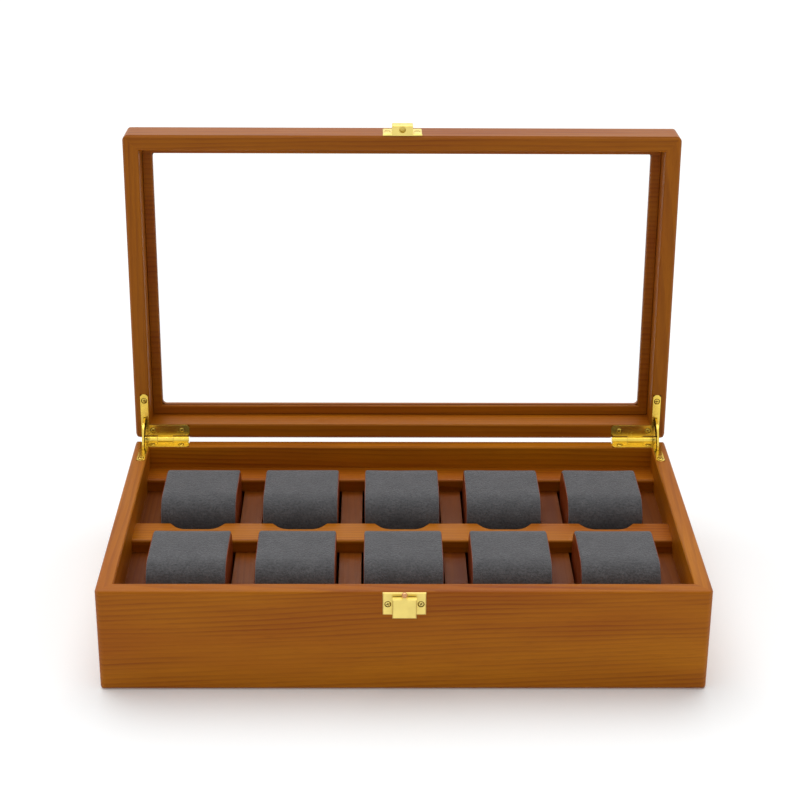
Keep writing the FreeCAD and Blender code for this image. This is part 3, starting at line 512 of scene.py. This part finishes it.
def suede_material():
    """Short-napped cloth: brushed patches, a speckled pile and a soft sheen."""
    material, tree, shader, place = blank_material("Charcoal microsuede")
    nap = speckle(tree, place, fine_scale=800.0, soft_scale=120.0)
    worn = opaque(colours().suede_worn)
    pit = scaled(colours().suede, 0.5)
    lying = mottle(
        tree, stretched(tree, place, (260.0, 1300.0, 1300.0)), stops=((0.42, 0.0), (0.68, 1.0)), detail=3.0)
    tone = tinted(tree, opaque(colours().suede), nap["Soft"], 0.7, worn)
    tone = tinted(tree, tone, nap["Fine"], 0.85, opaque(pit))
    tone = tinted(tree, tone, lying, 0.3, worn)
    set_inputs(tree, shader, {
        "Base Color": tone,
        "Roughness": summed(tree, 0.82, (nap["Soft"], 0.1)),
        "Normal": relief(tree, nap["Fine"], strength=0.6, depth=0.4 * MM),
        "Specular IOR Level": 0.2,
        "Sheen Weight": 0.38,
        "Sheen Roughness": 0.45,
        "Sheen Tint": (0.85, 0.86, 0.9, 1.0),
    })
    return material


def glass_material():
    """Clear float glass, which lets the studio light through to the case."""
    material, tree, shader, place = blank_material("Clear glass")
    smear = speckle(tree, place, fine_scale=300.0, soft_scale=12.0)
    set_inputs(tree, shader, {
        "Base Color": (0.985, 0.995, 0.99, 1.0),
        "Roughness": summed(tree, 0.002, (smear["Soft"], 0.012)),
        "Transmission Weight": 1.0,
        "IOR": 1.3,
        "Specular IOR Level": 0.2,
    })
    rays = add(tree, "ShaderNodeLightPath")
    clear = add(tree, "ShaderNodeBsdfTransparent")
    choice = add(tree, "ShaderNodeMixShader")
    lighting = maths(tree, "MAXIMUM", rays.outputs["Is Shadow Ray"], rays.outputs["Is Diffuse Ray"])
    for socket, term in zip(choice.inputs, (lighting, shader.outputs[0], clear.outputs[0])):
        feed(tree, socket, term)
    feed(tree, tree.nodes["Material Output"].inputs["Surface"], choice.outputs[0])
    return material


def dress(material, *names):
    """Gives CAD nodes a material."""
    for name in names:
        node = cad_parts[name]
        node.data.materials.clear()
        node.data.materials.append(material)


# Modelling helpers

def deselect():
    bpy.ops.object.select_all(action="DESELECT")


def only(piece):
    """Selects one object and makes it active."""
    deselect()
    piece.select_set(True)
    bpy.context.view_layer.objects.active = piece


def open_primitive(name):
    """Names the primitive just added, puts its place into its mesh and opens it in edit mode."""
    piece = bpy.context.active_object
    piece.name = name
    piece.data.name = name
    bpy.ops.object.transform_apply(location=True, rotation=True, scale=True)
    bpy.ops.object.mode_set(mode="EDIT")
    return piece


def new_piece(name, mesh):
    """An object for a mesh, in the scene."""
    mesh.name = name
    piece = bpy.data.objects.new(name, mesh)
    bpy.context.scene.collection.objects.link(piece)
    return piece


def choose(piece, kind, test):
    """In edit mode, selects only the faces or only the edges that pass a test."""
    bpy.ops.mesh.select_all(action="DESELECT")
    bpy.context.tool_settings.mesh_select_mode = (False, kind == "EDGE", kind == "FACE")
    shape = bmesh.from_edit_mesh(piece.data)
    for item in shape.faces if kind == "FACE" else shape.edges:
        if test(item):
            item.select_set(True)
    bmesh.update_edit_mesh(piece.data)


def pick_faces(piece, test):
    """In edit mode, selects the faces whose middle and normal pass a test."""
    choose(piece, "FACE", lambda face: test(face.calc_center_median(), face.normal))


def pick_edges(piece, test):
    """In edit mode, selects the edges whose middle and direction pass a test."""
    def passes(edge):
        start = edge.verts[0].co
        end = edge.verts[1].co
        return test((start + end) / 2.0, (end - start).normalized())

    choose(piece, "EDGE", passes)


def is_sharp(edge):
    """Whether two faces turn sharply at an edge."""
    return len(edge.link_faces) == 2 and edge.calc_face_angle() > SHARP_TURN


def slice_through(piece, axis, places):
    """Cuts new edge loops across a piece at places along an axis."""
    normal = [0.0, 0.0, 0.0]
    normal[axis] = 1.0
    for place in places:
        point = [0.0, 0.0, 0.0]
        point[axis] = place
        bpy.ops.mesh.select_all(action="SELECT")
        bpy.ops.mesh.bisect(plane_co=point, plane_no=normal)


def between(low, high, count):
    """Evenly spaced places strictly between two ends."""
    return [low + (high - low) * step / count for step in range(1, count)]


def extrude_down(depth):
    """In edit mode, draws what is selected straight down."""
    bpy.ops.mesh.extrude_region_move(TRANSFORM_OT_translate={"value": (0.0, 0.0, -depth)})


def lower(depth):
    """In edit mode, moves what is selected straight down."""
    bpy.ops.transform.translate(value=(0.0, 0.0, -depth))


def point_outwards():
    """In edit mode, turns the faces of a closed shape outwards."""
    bpy.ops.mesh.select_all(action="SELECT")
    bpy.ops.mesh.normals_make_consistent(inside=False)


def flat_shading(piece, angle):
    """Smooth shading in which the large faces stay flat and the eased edges take the turn."""
    only(piece)
    bpy.ops.object.shade_smooth_by_angle(angle=math.radians(angle))
    bpy.ops.object.modifier_add(type="WEIGHTED_NORMAL")
    weighting = piece.modifiers[-1]
    weighting.keep_sharp = True
    bpy.ops.object.modifier_apply(modifier=weighting.name)


# Metal pieces

def crisp_copy(name, body, material, width, shape_first=None):
    """A copy of a CAD metal piece whose sharp edges are eased, standing for that node.

    What shape_first does to the copy in edit mode comes before the easing.
    """
    piece = new_piece(name + "_eased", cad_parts[name].data.copy())
    only(piece)
    bpy.ops.object.mode_set(mode="EDIT")
    bpy.ops.mesh.select_all(action="SELECT")
    bpy.ops.mesh.remove_doubles(threshold=MERGE_METAL)
    bpy.ops.mesh.dissolve_limited(angle_limit=math.radians(1.0))
    if shape_first is not None:
        shape_first(piece)
    choose(piece, "EDGE", is_sharp)
    bpy.ops.mesh.bevel(offset=width, segments=2, affect="EDGES", clamp_overlap=True)
    bpy.ops.mesh.select_all(action="SELECT")
    bpy.ops.mesh.dissolve_degenerate(threshold=SLIVER)
    bpy.ops.object.mode_set(mode="OBJECT")
    flat_shading(piece, angle=60.0)
    piece.data.materials.clear()
    piece.data.materials.append(material)
    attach(piece, body)
    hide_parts(name)


def shape_flap(flap):
    """In edit mode, draws the flap's web nearer to the plate and necks its stud under the ball."""
    low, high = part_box("latch_button")
    plate_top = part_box("latch_plate")[1][Z]
    stud_axis = (0.0, low[Y] + sizes().ball_back, high[Z])

    def on_web_back(middle, way):
        at_back = middle.y > high[Y] - NEAR
        return at_back and middle.z > plate_top - WEB_HEIGHT and abs(way.x) > ALONG

    pick_edges(flap, on_web_back)
    bpy.ops.transform.translate(value=(0.0, WEB_SHIFT, 0.0))
    pick_edges(flap, lambda middle, way: middle.z > plate_top and abs(way.z) < ACROSS)
    bpy.ops.transform.resize(value=(STUD_NECK, STUD_NECK, 1.0), center_override=stud_axis)
    lower(STUD_DROP)


def model_ball(material):
    """The round head on the flap's catch stud: a ball with a flat foot and a small collar."""
    radius = sizes().ball_radius
    low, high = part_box("latch_button")
    centre = Vector((0.0, low[Y] + sizes().ball_back, high[Z] - BALL_TOP_GAP - radius))
    foot = centre - Vector((0.0, 0.0, radius * BALL_FOOT))
    deselect()
    bpy.ops.mesh.primitive_uv_sphere_add(segments=32, ring_count=24, radius=radius, location=centre)
    ball = open_primitive("latch_stud_ball")
    bpy.ops.mesh.select_all(action="SELECT")
    bpy.ops.mesh.bisect(plane_co=foot, plane_no=(0.0, 0.0, 1.0), clear_inner=True, use_fill=True)
    pick_faces(ball, lambda middle, normal: normal.z < -0.99)
    extrude_down(radius * BALL_COLLAR)
    point_outwards()
    bpy.ops.object.mode_set(mode="OBJECT")
    flat_shading(ball, angle=35.0)
    ball.data.materials.append(material)
    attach(ball, "latch_flap")


def loose_parts(name):
    """The corners of each solid of a CAD node, as lists of points."""
    shape = bmesh.new()
    shape.from_mesh(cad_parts[name].data)
    bmesh.ops.remove_doubles(shape, verts=shape.verts, dist=MERGE_METAL)
    seen = set()
    parts = []
    for first in shape.verts:
        if first.index in seen:
            continue
        seen.add(first.index)
        waiting = [first]
        points = []
        while waiting:
            vertex = waiting.pop()
            points.append(vertex.co.copy())
            for edge in vertex.link_edges:
                other = edge.other_vert(vertex)
                if other.index not in seen:
                    seen.add(other.index)
                    waiting.append(other)
        parts.append(points)
    shape.free()
    return parts


def model_screw():
    """One countersunk screw head: a sunk ring, a crown inside it and a cross cut in the crown."""
    radius = sizes().screw_radius
    seat = sizes().screw_seat
    depth = sizes().screw_depth
    ring_drop = depth * 0.6
    crown_lip = radius * 0.14
    crown_drop = depth * 0.15
    arm = radius * 0.19
    reach = radius * 0.7
    cross_depth = depth * 0.6

    def on_top(middle, normal):
        return normal.z > ALONG

    def lower_rim(rim, drop):
        pick_edges(head, lambda middle, way: (
            middle.z > -NEAR and abs(way.z) < ACROSS and abs(middle.xy.length - rim) < 0.05 * rim))
        lower(drop)

    def in_cross(middle, normal):
        if normal.z < ALONG or middle.z < -NEAR:
            return False
        x = abs(middle.x)
        y = abs(middle.y)
        return (x < arm and y < reach) or (y < arm and x < reach)

    deselect()
    bpy.ops.mesh.primitive_cylinder_add(
        vertices=40, radius=seat, depth=depth, location=(0.0, 0.0, -depth / 2.0))
    head = open_primitive("screw_head")
    pick_faces(head, on_top)
    bpy.ops.mesh.inset(thickness=seat - radius, depth=0.0)
    lower_rim(seat, ring_drop)
    pick_faces(head, on_top)
    bpy.ops.mesh.inset(thickness=crown_lip, depth=0.0)
    lower_rim(radius, crown_drop)
    slice_through(head, X, (-reach, -arm, arm, reach))
    slice_through(head, Y, (-reach, -arm, arm, reach))
    pick_faces(head, in_cross)
    extrude_down(cross_depth)
    point_outwards()
    # The faces down in the sunk ring and in the cross take the second material, a darker brass that paints
    # the shade in these hollows.
    shape = bmesh.from_edit_mesh(head.data)
    for face in shape.faces:
        middle = face.calc_center_median()
        in_ring = middle.xy.length > radius and face.normal.z > 0.3
        in_slot = middle.xy.length < reach and middle.z < -depth * 0.25 and face.normal.z > -0.5
        face.material_index = 1 if in_ring or in_slot else 0
    bmesh.update_edit_mesh(head.data)
    bpy.ops.object.mode_set(mode="OBJECT")
    return head


def set_screws(pattern, node, body, facing, bright, smudge_and_shade):
    """Copies of the screw head in the holes of one CAD node of screws, as one piece."""
    facing = Vector(facing).normalized()
    turn = Vector((0.0, 0.0, 1.0)).rotation_difference(facing).to_matrix()
    shape = bmesh.new()
    for number, points in enumerate(loose_parts(node)):
        top = max(point.dot(facing) for point in points)
        near_top = [point for point in points if point.dot(facing) > top - HEAD_SLICE]
        middle = Vector((0.0, 0.0, 0.0))
        for axis in (X, Y, Z):
            low = min(point[axis] for point in near_top)
            high = max(point[axis] for point in near_top)
            middle[axis] = (low + high) / 2.0
        middle += facing * (top - middle.dot(facing) - sizes().screw_recess)
        angle = FIRST_TURN + number * TURN_STEP
        spin = Vector((math.cos(angle), math.sin(angle), 0.0))
        count = len(shape.verts)
        shape.from_mesh(pattern.data)
        shape.verts.ensure_lookup_table()
        for vertex in shape.verts[count:]:
            x = vertex.co.x * spin.x - vertex.co.y * spin.y
            y = vertex.co.x * spin.y + vertex.co.y * spin.x
            vertex.co = turn @ Vector((x, y, vertex.co.z)) + middle
    heads = new_piece(node + "_heads", bpy.data.meshes.new(node + "_heads"))
    shape.to_mesh(heads.data)
    shape.free()
    # The second material paints the shade in the sunk ring and the cross of each head.
    heads.data.materials.append(bright)
    heads.data.materials.append(smudge_and_shade)
    flat_shading(heads, angle=40.0)
    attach(heads, body)
    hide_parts(node)


# Pillow wraps

def cover_outline(row, place):
    """Box of a wrap before it swells: (low corner, high corner)."""
    soft_low, soft_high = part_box("pillow_%s_%d_cushion" % (row, place))
    hard_low, hard_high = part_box("pillow_%s_%d_cheeks" % (row, place))
    inset = sizes().cover_swell
    gap = sizes().cover_side_gap
    low = (hard_low[X] + gap, soft_low[Y] + inset, soft_low[Z] + COVER_FOOT_GAP)
    high = (hard_high[X] - gap, soft_high[Y] - inset, soft_high[Z] - inset)
    return low, high


def face_out(sleeve):
    """In edit mode, turns a sleeve's faces round if its topmost one points down."""
    shape = bmesh.from_edit_mesh(sleeve.data)
    top = max(shape.faces, key=lambda face: face.calc_center_median().z)
    if top.normal.z < 0.0:
        bpy.ops.mesh.select_all(action="SELECT")
        bpy.ops.mesh.flip_normals()


def outward_ways(piece):
    """The normals of a piece's points, gathered before any point moves."""
    return [vertex.normal.copy() for vertex in piece.data.vertices]


def model_wrap():
    """One microsuede wrap: a closed pad round the pillow, swollen by its filling, its ends rolled in."""
    low, high = cover_outline("front", 3)
    shoulder = sizes().shoulder_radius
    foot = sizes().foot_radius
    roll = sizes().end_roll
    half_way_up = (low[Z] + high[Z]) / 2.0
    middle = [(a + b) / 2.0 for a, b in zip(low, high)]
    lengths = [b - a for a, b in zip(low, high)]
    deselect()
    bpy.ops.mesh.primitive_cube_add(size=1.0, location=middle, scale=lengths)
    wrap = open_primitive("pillow_wrap")
    pick_faces(wrap, lambda spot, normal: abs(normal.x) > ALONG)
    bpy.ops.mesh.delete(type="FACE")
    pick_edges(wrap, lambda spot, way: abs(way.x) > ALONG and spot.z > half_way_up)
    bpy.ops.mesh.bevel(offset=shoulder, segments=10, affect="EDGES")
    pick_edges(wrap, lambda spot, way: abs(way.x) > ALONG and spot.z < low[Z] + HELD_WITHIN)
    bpy.ops.mesh.bevel(offset=foot, segments=4, affect="EDGES")
    slice_through(wrap, X, between(low[X] + roll, high[X] - roll, count=16))
    slice_through(wrap, X, [low[X] + roll * share for share in ROLL_CUTS])
    slice_through(wrap, X, [high[X] - roll * share for share in ROLL_CUTS])
    slice_through(wrap, Y, between(low[Y] + shoulder, high[Y] - shoulder, count=12))
    slice_through(wrap, Z, between(low[Z] + foot, high[Z] - shoulder, count=14))
    bpy.ops.mesh.select_all(action="SELECT")
    bpy.ops.mesh.remove_doubles(threshold=MERGE_COVER)
    point_outwards()
    face_out(wrap)
    bpy.ops.object.mode_set(mode="OBJECT")
    swell(wrap, low, high)
    for vertex, outward in zip(wrap.data.vertices, outward_ways(wrap)):
        reach = roll - min(vertex.co.x - low[X], high[X] - vertex.co.x)
        if reach > 0.0:
            drop = roll - math.sqrt(max(0.0, roll * roll - reach * reach))
            vertex.co -= outward * drop * ROLL_DEPTH
    only(wrap)
    bpy.ops.object.modifier_add(type="SUBSURF")
    smooth = wrap.modifiers[-1]
    smooth.levels = 1
    smooth.render_levels = 1
    bpy.ops.object.modifier_apply(modifier=smooth.name)
    bpy.ops.object.mode_set(mode="EDIT")
    for side in (-1.0, 1.0):
        choose(wrap, "EDGE", lambda edge: edge.is_boundary and edge.verts[0].co.x * side > 0.0)
        bpy.ops.mesh.edge_face_add()
    point_outwards()
    face_out(wrap)
    bpy.ops.object.mode_set(mode="OBJECT")
    only(wrap)
    bpy.ops.object.shade_smooth_by_angle(angle=math.radians(50.0))
    return wrap


def swell(wrap, low, high):
    """Lets the filling press the sleeve out, its two ends held by the cheeks and its foot by the tray."""
    held = wrap.vertex_groups.new(name="held_ends")
    start = []
    for vertex in wrap.data.vertices:
        start.append(vertex.co.copy())
        at_end = min(abs(vertex.co.x - low[X]), abs(vertex.co.x - high[X])) < HELD_WITHIN
        on_base = vertex.co.z < low[Z] + HELD_WITHIN
        if at_end or on_base:
            held.add([vertex.index], 1.0, "REPLACE")
    only(wrap)
    bpy.ops.object.modifier_add(type="CLOTH")
    cloth = wrap.modifiers[-1]
    cloth.settings.use_pressure = True
    cloth.settings.uniform_pressure_force = 4.0
    cloth.settings.effector_weights.gravity = 0.0
    cloth.settings.vertex_group_mass = held.name
    scene = bpy.context.scene
    for step in range(1, SWELL_STEPS + 1):
        scene.frame_set(step)
    bpy.ops.object.modifier_apply(modifier=cloth.name)
    scene.frame_set(1)
    furthest = sizes().cover_swell
    most = 0.0
    for vertex, before in zip(wrap.data.vertices, start):
        move = vertex.co - before
        most = max(most, move.length)
        if move.length > furthest:
            vertex.co = before + move.normalized() * furthest
    print("wrap: the filling moved it by %.2f mm at most before the cap" % (most / MM))
    wrap.vertex_groups.clear()


def place_wrap(pattern, row, place, material):
    """One pillow's own copy of the wrap, a little different from its neighbours."""
    wrap = new_piece("pillow_%s_%d_wrap" % (row, place), pattern.data.copy())
    low, _ = cover_outline(row, place)
    start, end = cover_outline("front", 3)
    shift = Vector(low) - Vector(start)
    seed = Vector((place * 7.3, len(row) * 3.1, 0.0))
    for vertex, outward in zip(wrap.data.vertices, outward_ways(wrap)):
        dent = DENT_DEPTH * (noise.noise(vertex.co / DENT_SPACING + seed) - 0.5)
        from_end = min(vertex.co.x - start[X], end[X] - vertex.co.x)
        share = min(1.0, max(0.0, from_end / DENT_FADE))
        vertex.co = vertex.co + outward * dent * share + shift
    wrap.data.materials.clear()
    wrap.data.materials.append(material)
    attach(wrap, "pillow_%s_%d" % (row, place))
    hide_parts("pillow_%s_%d_cushion" % (row, place))


# Operators, one for each group of pieces

class WATCHCASE_OT_case(bpy.types.Operator):
    """Finish the four walls and the bottom of the case"""
    bl_idname = "watch_case.case"
    bl_label = "Case walls"

    def execute(self, context):
        front = wood_material("Case front wood", "X", shift=(0.18, 0.02, 0.16), tilt=0.03)
        back = wood_material(
            "Case back wood", "X", shift=(0.3, 0.05, 0.19), tilt=-0.02, pale=colours().back_pale)
        side = wood_material("Case side wood", "Y", shift=(0.1, 0.03, 0.17), tilt=0.02)
        panel = wood_material("Bottom panel wood", "X", shift=(0.2, 0.11, 0.09), tilt=0.01)
        dress(front, "base_front_wall")
        dress(back, "base_back_wall")
        dress(side, "base_left_wall", "base_right_wall")
        dress(panel, "base_bottom_panel")
        return {"FINISHED"}


class WATCHCASE_OT_tray(bpy.types.Operator):
    """Finish the dividers and the rails that the pillows sit between"""
    bl_idname = "watch_case.tray"
    bl_label = "Dividers and rails"

    def execute(self, context):
        # The dividers take darker tones, which paint the shade down in the tray.
        tone_and_shade = {"pale": colours().shaded_tray_pale, "deep": colours().shaded_tray_deep, "ruddy": colours().shaded_tray_deep}
        cross = wood_material("Cross divider wood", "Y", shift=(0.0, 0.07, 0.12), **tone_and_shade)
        row = wood_material("Row divider wood", "X", shift=(0.4, 0.07, 0.12), **tone_and_shade)
        rail = wood_material("Rail wood", "X", shift=(0.15, 0.13, 0.04), tilt=0.01)
        for number in range(1, len(PLACES) + 2):
            dress(cross, "cross_divider_%d" % number)
        dress(row, "row_divider")
        dress(rail, "front_rail", "centre_rail", "rear_rail")
        return {"FINISHED"}


class WATCHCASE_OT_lid(bpy.types.Operator):
    """Finish the lid's frame, its beads and its pane"""
    bl_idname = "watch_case.lid"
    bl_label = "Glazed lid"

    def execute(self, context):
        # Darker tones: the lid's own browner tone, and painted shade on its inner faces.
        tone_and_shade = {"pale": colours().lid_pale, "deep": colours().lid_deep}
        long_wall = wood_material("Lid long wood", "X", shift=(0.25, 0.06, 0.05), tilt=0.015, **tone_and_shade)
        side_wall = wood_material("Lid side wood", "Z", shift=(0.05, 0.06, 0.11), tilt=0.015, **tone_and_shade)
        bead = wood_material("Bead wood", "X", shift=(0.35, 0.02, 0.03), **tone_and_shade)
        dress(long_wall, "lid_front_wall", "lid_back_wall")
        dress(side_wall, "lid_left_wall", "lid_right_wall")
        dress(bead, "glass_beads")
        dress(glass_material(), "lid_glass")
        return {"FINISHED"}


class WATCHCASE_OT_hinges(bpy.types.Operator):
    """Finish the two quadrant hinges and their screws"""
    bl_idname = "watch_case.hinges"
    bl_label = "Quadrant hinges"

    def execute(self, context):
        plating = tuple(colours().hinge_brass)
        brass = metal_material("Hinge brass", plating, roughness=0.16, wear=0.35)
        screws = metal_material("Hinge screw brass", plating, roughness=0.22, wear=0.6)
        # Darker brass that paints the shade in the hollows of the screw heads.
        recess_shade = metal_material("Hinge screw recess", tuple(colours().recess_shade), roughness=0.5, wear=0.6)
        ease = sizes().metal_ease
        for side in ("left", "right"):
            crisp_copy("hinge_%s_base_leaf" % side, "base", brass, ease)
            crisp_copy("hinge_%s_lid_leaf" % side, "lid", brass, ease)
            crisp_copy("hinge_%s_stay" % side, "stay_%s" % side, brass, ease)
            dress(brass, "hinge_%s_pin" % side)
        head = model_screw()
        set_screws(head, "hinge_base_screws", "base", (0.0, 0.0, 1.0), screws, recess_shade)
        set_screws(head, "hinge_lid_screws", "lid", LID_RIM_WAY, screws, recess_shade)
        bpy.data.objects.remove(head, do_unlink=True)
        return {"FINISHED"}


class WATCHCASE_OT_latch(bpy.types.Operator):
    """Finish the press latch on the front and its keeper on the lid"""
    bl_idname = "watch_case.latch"
    bl_label = "Press latch and keeper"

    def execute(self, context):
        plating = tuple(colours().latch_brass)
        brass = metal_material("Latch brass", plating, roughness=0.34, wear=0.3)
        steel = metal_material("Spring steel", tuple(colours().spring_steel), roughness=0.25, wear=0.4)
        screws = metal_material("Latch screw brass", plating, roughness=0.24, wear=0.6)
        # Darker brass that paints the shade in the hollows of the screw heads.
        recess_shade = metal_material("Latch screw recess", tuple(colours().recess_shade), roughness=0.5, wear=0.6)
        stud = metal_material("Stud brass", tuple(colours().stud_brass), roughness=0.2, wear=0.5)
        crisp_copy("latch_plate", "base", brass, sizes().plate_ease)
        crisp_copy("latch_button", "latch_flap", brass, sizes().metal_ease, shape_flap)
        crisp_copy("keeper_plate", "lid", brass, sizes().metal_ease)
        model_ball(stud)
        dress(brass, "latch_pin")
        dress(steel, "latch_spring")
        head = model_screw()
        set_screws(head, "latch_screws", "base", (0.0, -1.0, 0.0), screws, recess_shade)
        set_screws(head, "keeper_screws", "lid", LID_FRONT_WAY, screws, recess_shade)
        bpy.data.objects.remove(head, do_unlink=True)
        return {"FINISHED"}


class WATCHCASE_OT_pillows(bpy.types.Operator):
    """Wrap the ten pillows in microsuede and finish their wooden cheeks"""
    bl_idname = "watch_case.pillows"
    bl_label = "Pillows"

    def execute(self, context):
        cheeks = wood_material(
            "Cheek wood", "Y", shift=(0.2, 0.04, 0.08), contrast=0.5,
            pale=colours().cheek_pale, deep=colours().cheek_deep, ruddy=colours().cheek_deep)
        suede = suede_material()
        pattern = model_wrap()
        for row in ROWS:
            for place in PLACES:
                dress(cheeks, "pillow_%s_%d_cheeks" % (row, place))
                place_wrap(pattern, row, place, suede)
        bpy.data.objects.remove(pattern, do_unlink=True)
        return {"FINISHED"}


def seen_directly(tree):
    """1 for what the camera sees, straight or through glass and in metal, and 0 for light on the case."""
    rays = add(tree, "ShaderNodeLightPath")
    seen = maths(tree, "MAXIMUM", rays.outputs["Is Camera Ray"], rays.outputs["Is Transmission Ray"])
    return maths(tree, "MAXIMUM", seen, rays.outputs["Is Glossy Ray"])


class WATCHCASE_OT_stage(bpy.types.Operator):
    """Set out the floor, the light and the camera"""
    bl_idname = "watch_case.stage"
    bl_label = "Stage"

    def execute(self, context):
        scene = context.scene
        scene.view_settings.view_transform = "Standard"
        self.lay_floor()
        self.hang_light(scene)
        deselect()
        bpy.ops.object.camera_add(
            location=CAMERA_PLACE, rotation=[math.radians(angle) for angle in CAMERA_TURN])
        camera = context.active_object
        camera.name = "camera"
        camera.data.sensor_width = 36.0
        camera.data.lens = studio().lens
        camera.data.clip_start = 0.05
        camera.data.clip_end = 60.0
        scene.camera = camera
        return {"FINISHED"}

    def lay_floor(self):
        """A wide pale disc, a touch paler to the eye than the light makes it."""
        deselect()
        bpy.ops.mesh.primitive_circle_add(vertices=96, radius=9.0, fill_type="NGON", location=(0.0, 0.0, 0.0))
        floor = bpy.context.active_object
        floor.name = "floor"
        material, tree, shader, place = blank_material("Pale floor")
        cloud = add(tree, "ShaderNodeTexNoise")
        set_inputs(tree, cloud, {"Vector": place, "Scale": 8.0})
        paler = scaled(studio().floor, 1.01)
        set_inputs(tree, shader, {
            "Base Color": mixed(tree, cloud.outputs["Fac"], opaque(studio().floor), opaque(paler)),
            "Roughness": 0.9,
            "Specular IOR Level": 0.0,
            "Emission Color": (1.0, 1.0, 1.0, 1.0),
            "Emission Strength": maths(tree, "MULTIPLY", seen_directly(tree), studio().floor_lift),
        })
        floor.data.materials.append(material)

    def hang_light(self, scene):
        """An even dome that looks plain white, and one broad soft sun."""
        world = scene.world or bpy.data.worlds.new("Studio")
        scene.world = world
        world.use_nodes = True
        tree = world.node_tree
        tree.nodes.clear()
        choice = add(tree, "ShaderNodeMixShader")
        feed(tree, choice.inputs[0], seen_directly(tree))
        for place, strength in ((1, studio().dome_level), (2, 1.0)):
            light = add(tree, "ShaderNodeBackground")
            set_inputs(tree, light, {"Color": (1.0, 1.0, 1.0, 1.0), "Strength": strength})
            feed(tree, choice.inputs[place], light.outputs[0])
        sink = add(tree, "ShaderNodeOutputWorld")
        feed(tree, sink.inputs["Surface"], choice.outputs[0])
        deselect()
        bpy.ops.object.light_add(type="SUN", rotation=(math.radians(-22.0), math.radians(-5.0), 0.0))
        key = bpy.context.active_object
        key.name = "key_light"
        key.data.energy = studio().key_level
        key.data.angle = math.radians(60.0)


class WATCHCASE_PT_panel(bpy.types.Panel):
    """The watch case's pieces, in the order they are made"""
    bl_idname = "WATCHCASE_PT_panel"
    bl_label = "Watch Display Case"
    bl_space_type = "VIEW_3D"
    bl_region_type = "UI"
    bl_category = "Watch Case"

    def draw(self, context):
        layout = self.layout
        for operator in OPERATORS:
            layout.operator(operator.bl_idname)
        for group in (sizes(), colours(), studio()):
            box = layout.box()
            for name in group.__annotations__:
                box.prop(group, name)


OPERATORS = (
    WATCHCASE_OT_case,
    WATCHCASE_OT_tray,
    WATCHCASE_OT_lid,
    WATCHCASE_OT_hinges,
    WATCHCASE_OT_latch,
    WATCHCASE_OT_pillows,
    WATCHCASE_OT_stage,
)
CLASSES = (CaseSizes, CaseColours, StudioSettings) + OPERATORS + (WATCHCASE_PT_panel,)


def register():
    for item in CLASSES:
        bpy.utils.register_class(item)
    bpy.types.Scene.watch_case_sizes = bpy.props.PointerProperty(type=CaseSizes)
    bpy.types.Scene.watch_case_colours = bpy.props.PointerProperty(type=CaseColours)
    bpy.types.Scene.watch_case_studio = bpy.props.PointerProperty(type=StudioSettings)


def unregister():
    del bpy.types.Scene.watch_case_studio
    del bpy.types.Scene.watch_case_colours
    del bpy.types.Scene.watch_case_sizes
    for item in reversed(CLASSES):
        bpy.utils.unregister_class(item)


def main():
    register()
    bpy.ops.watch_case.case()
    bpy.ops.watch_case.tray()
    bpy.ops.watch_case.lid()
    bpy.ops.watch_case.hinges()
    bpy.ops.watch_case.latch()
    bpy.ops.watch_case.pillows()
    bpy.ops.watch_case.stage()


if __name__ == "__main__":
    main()
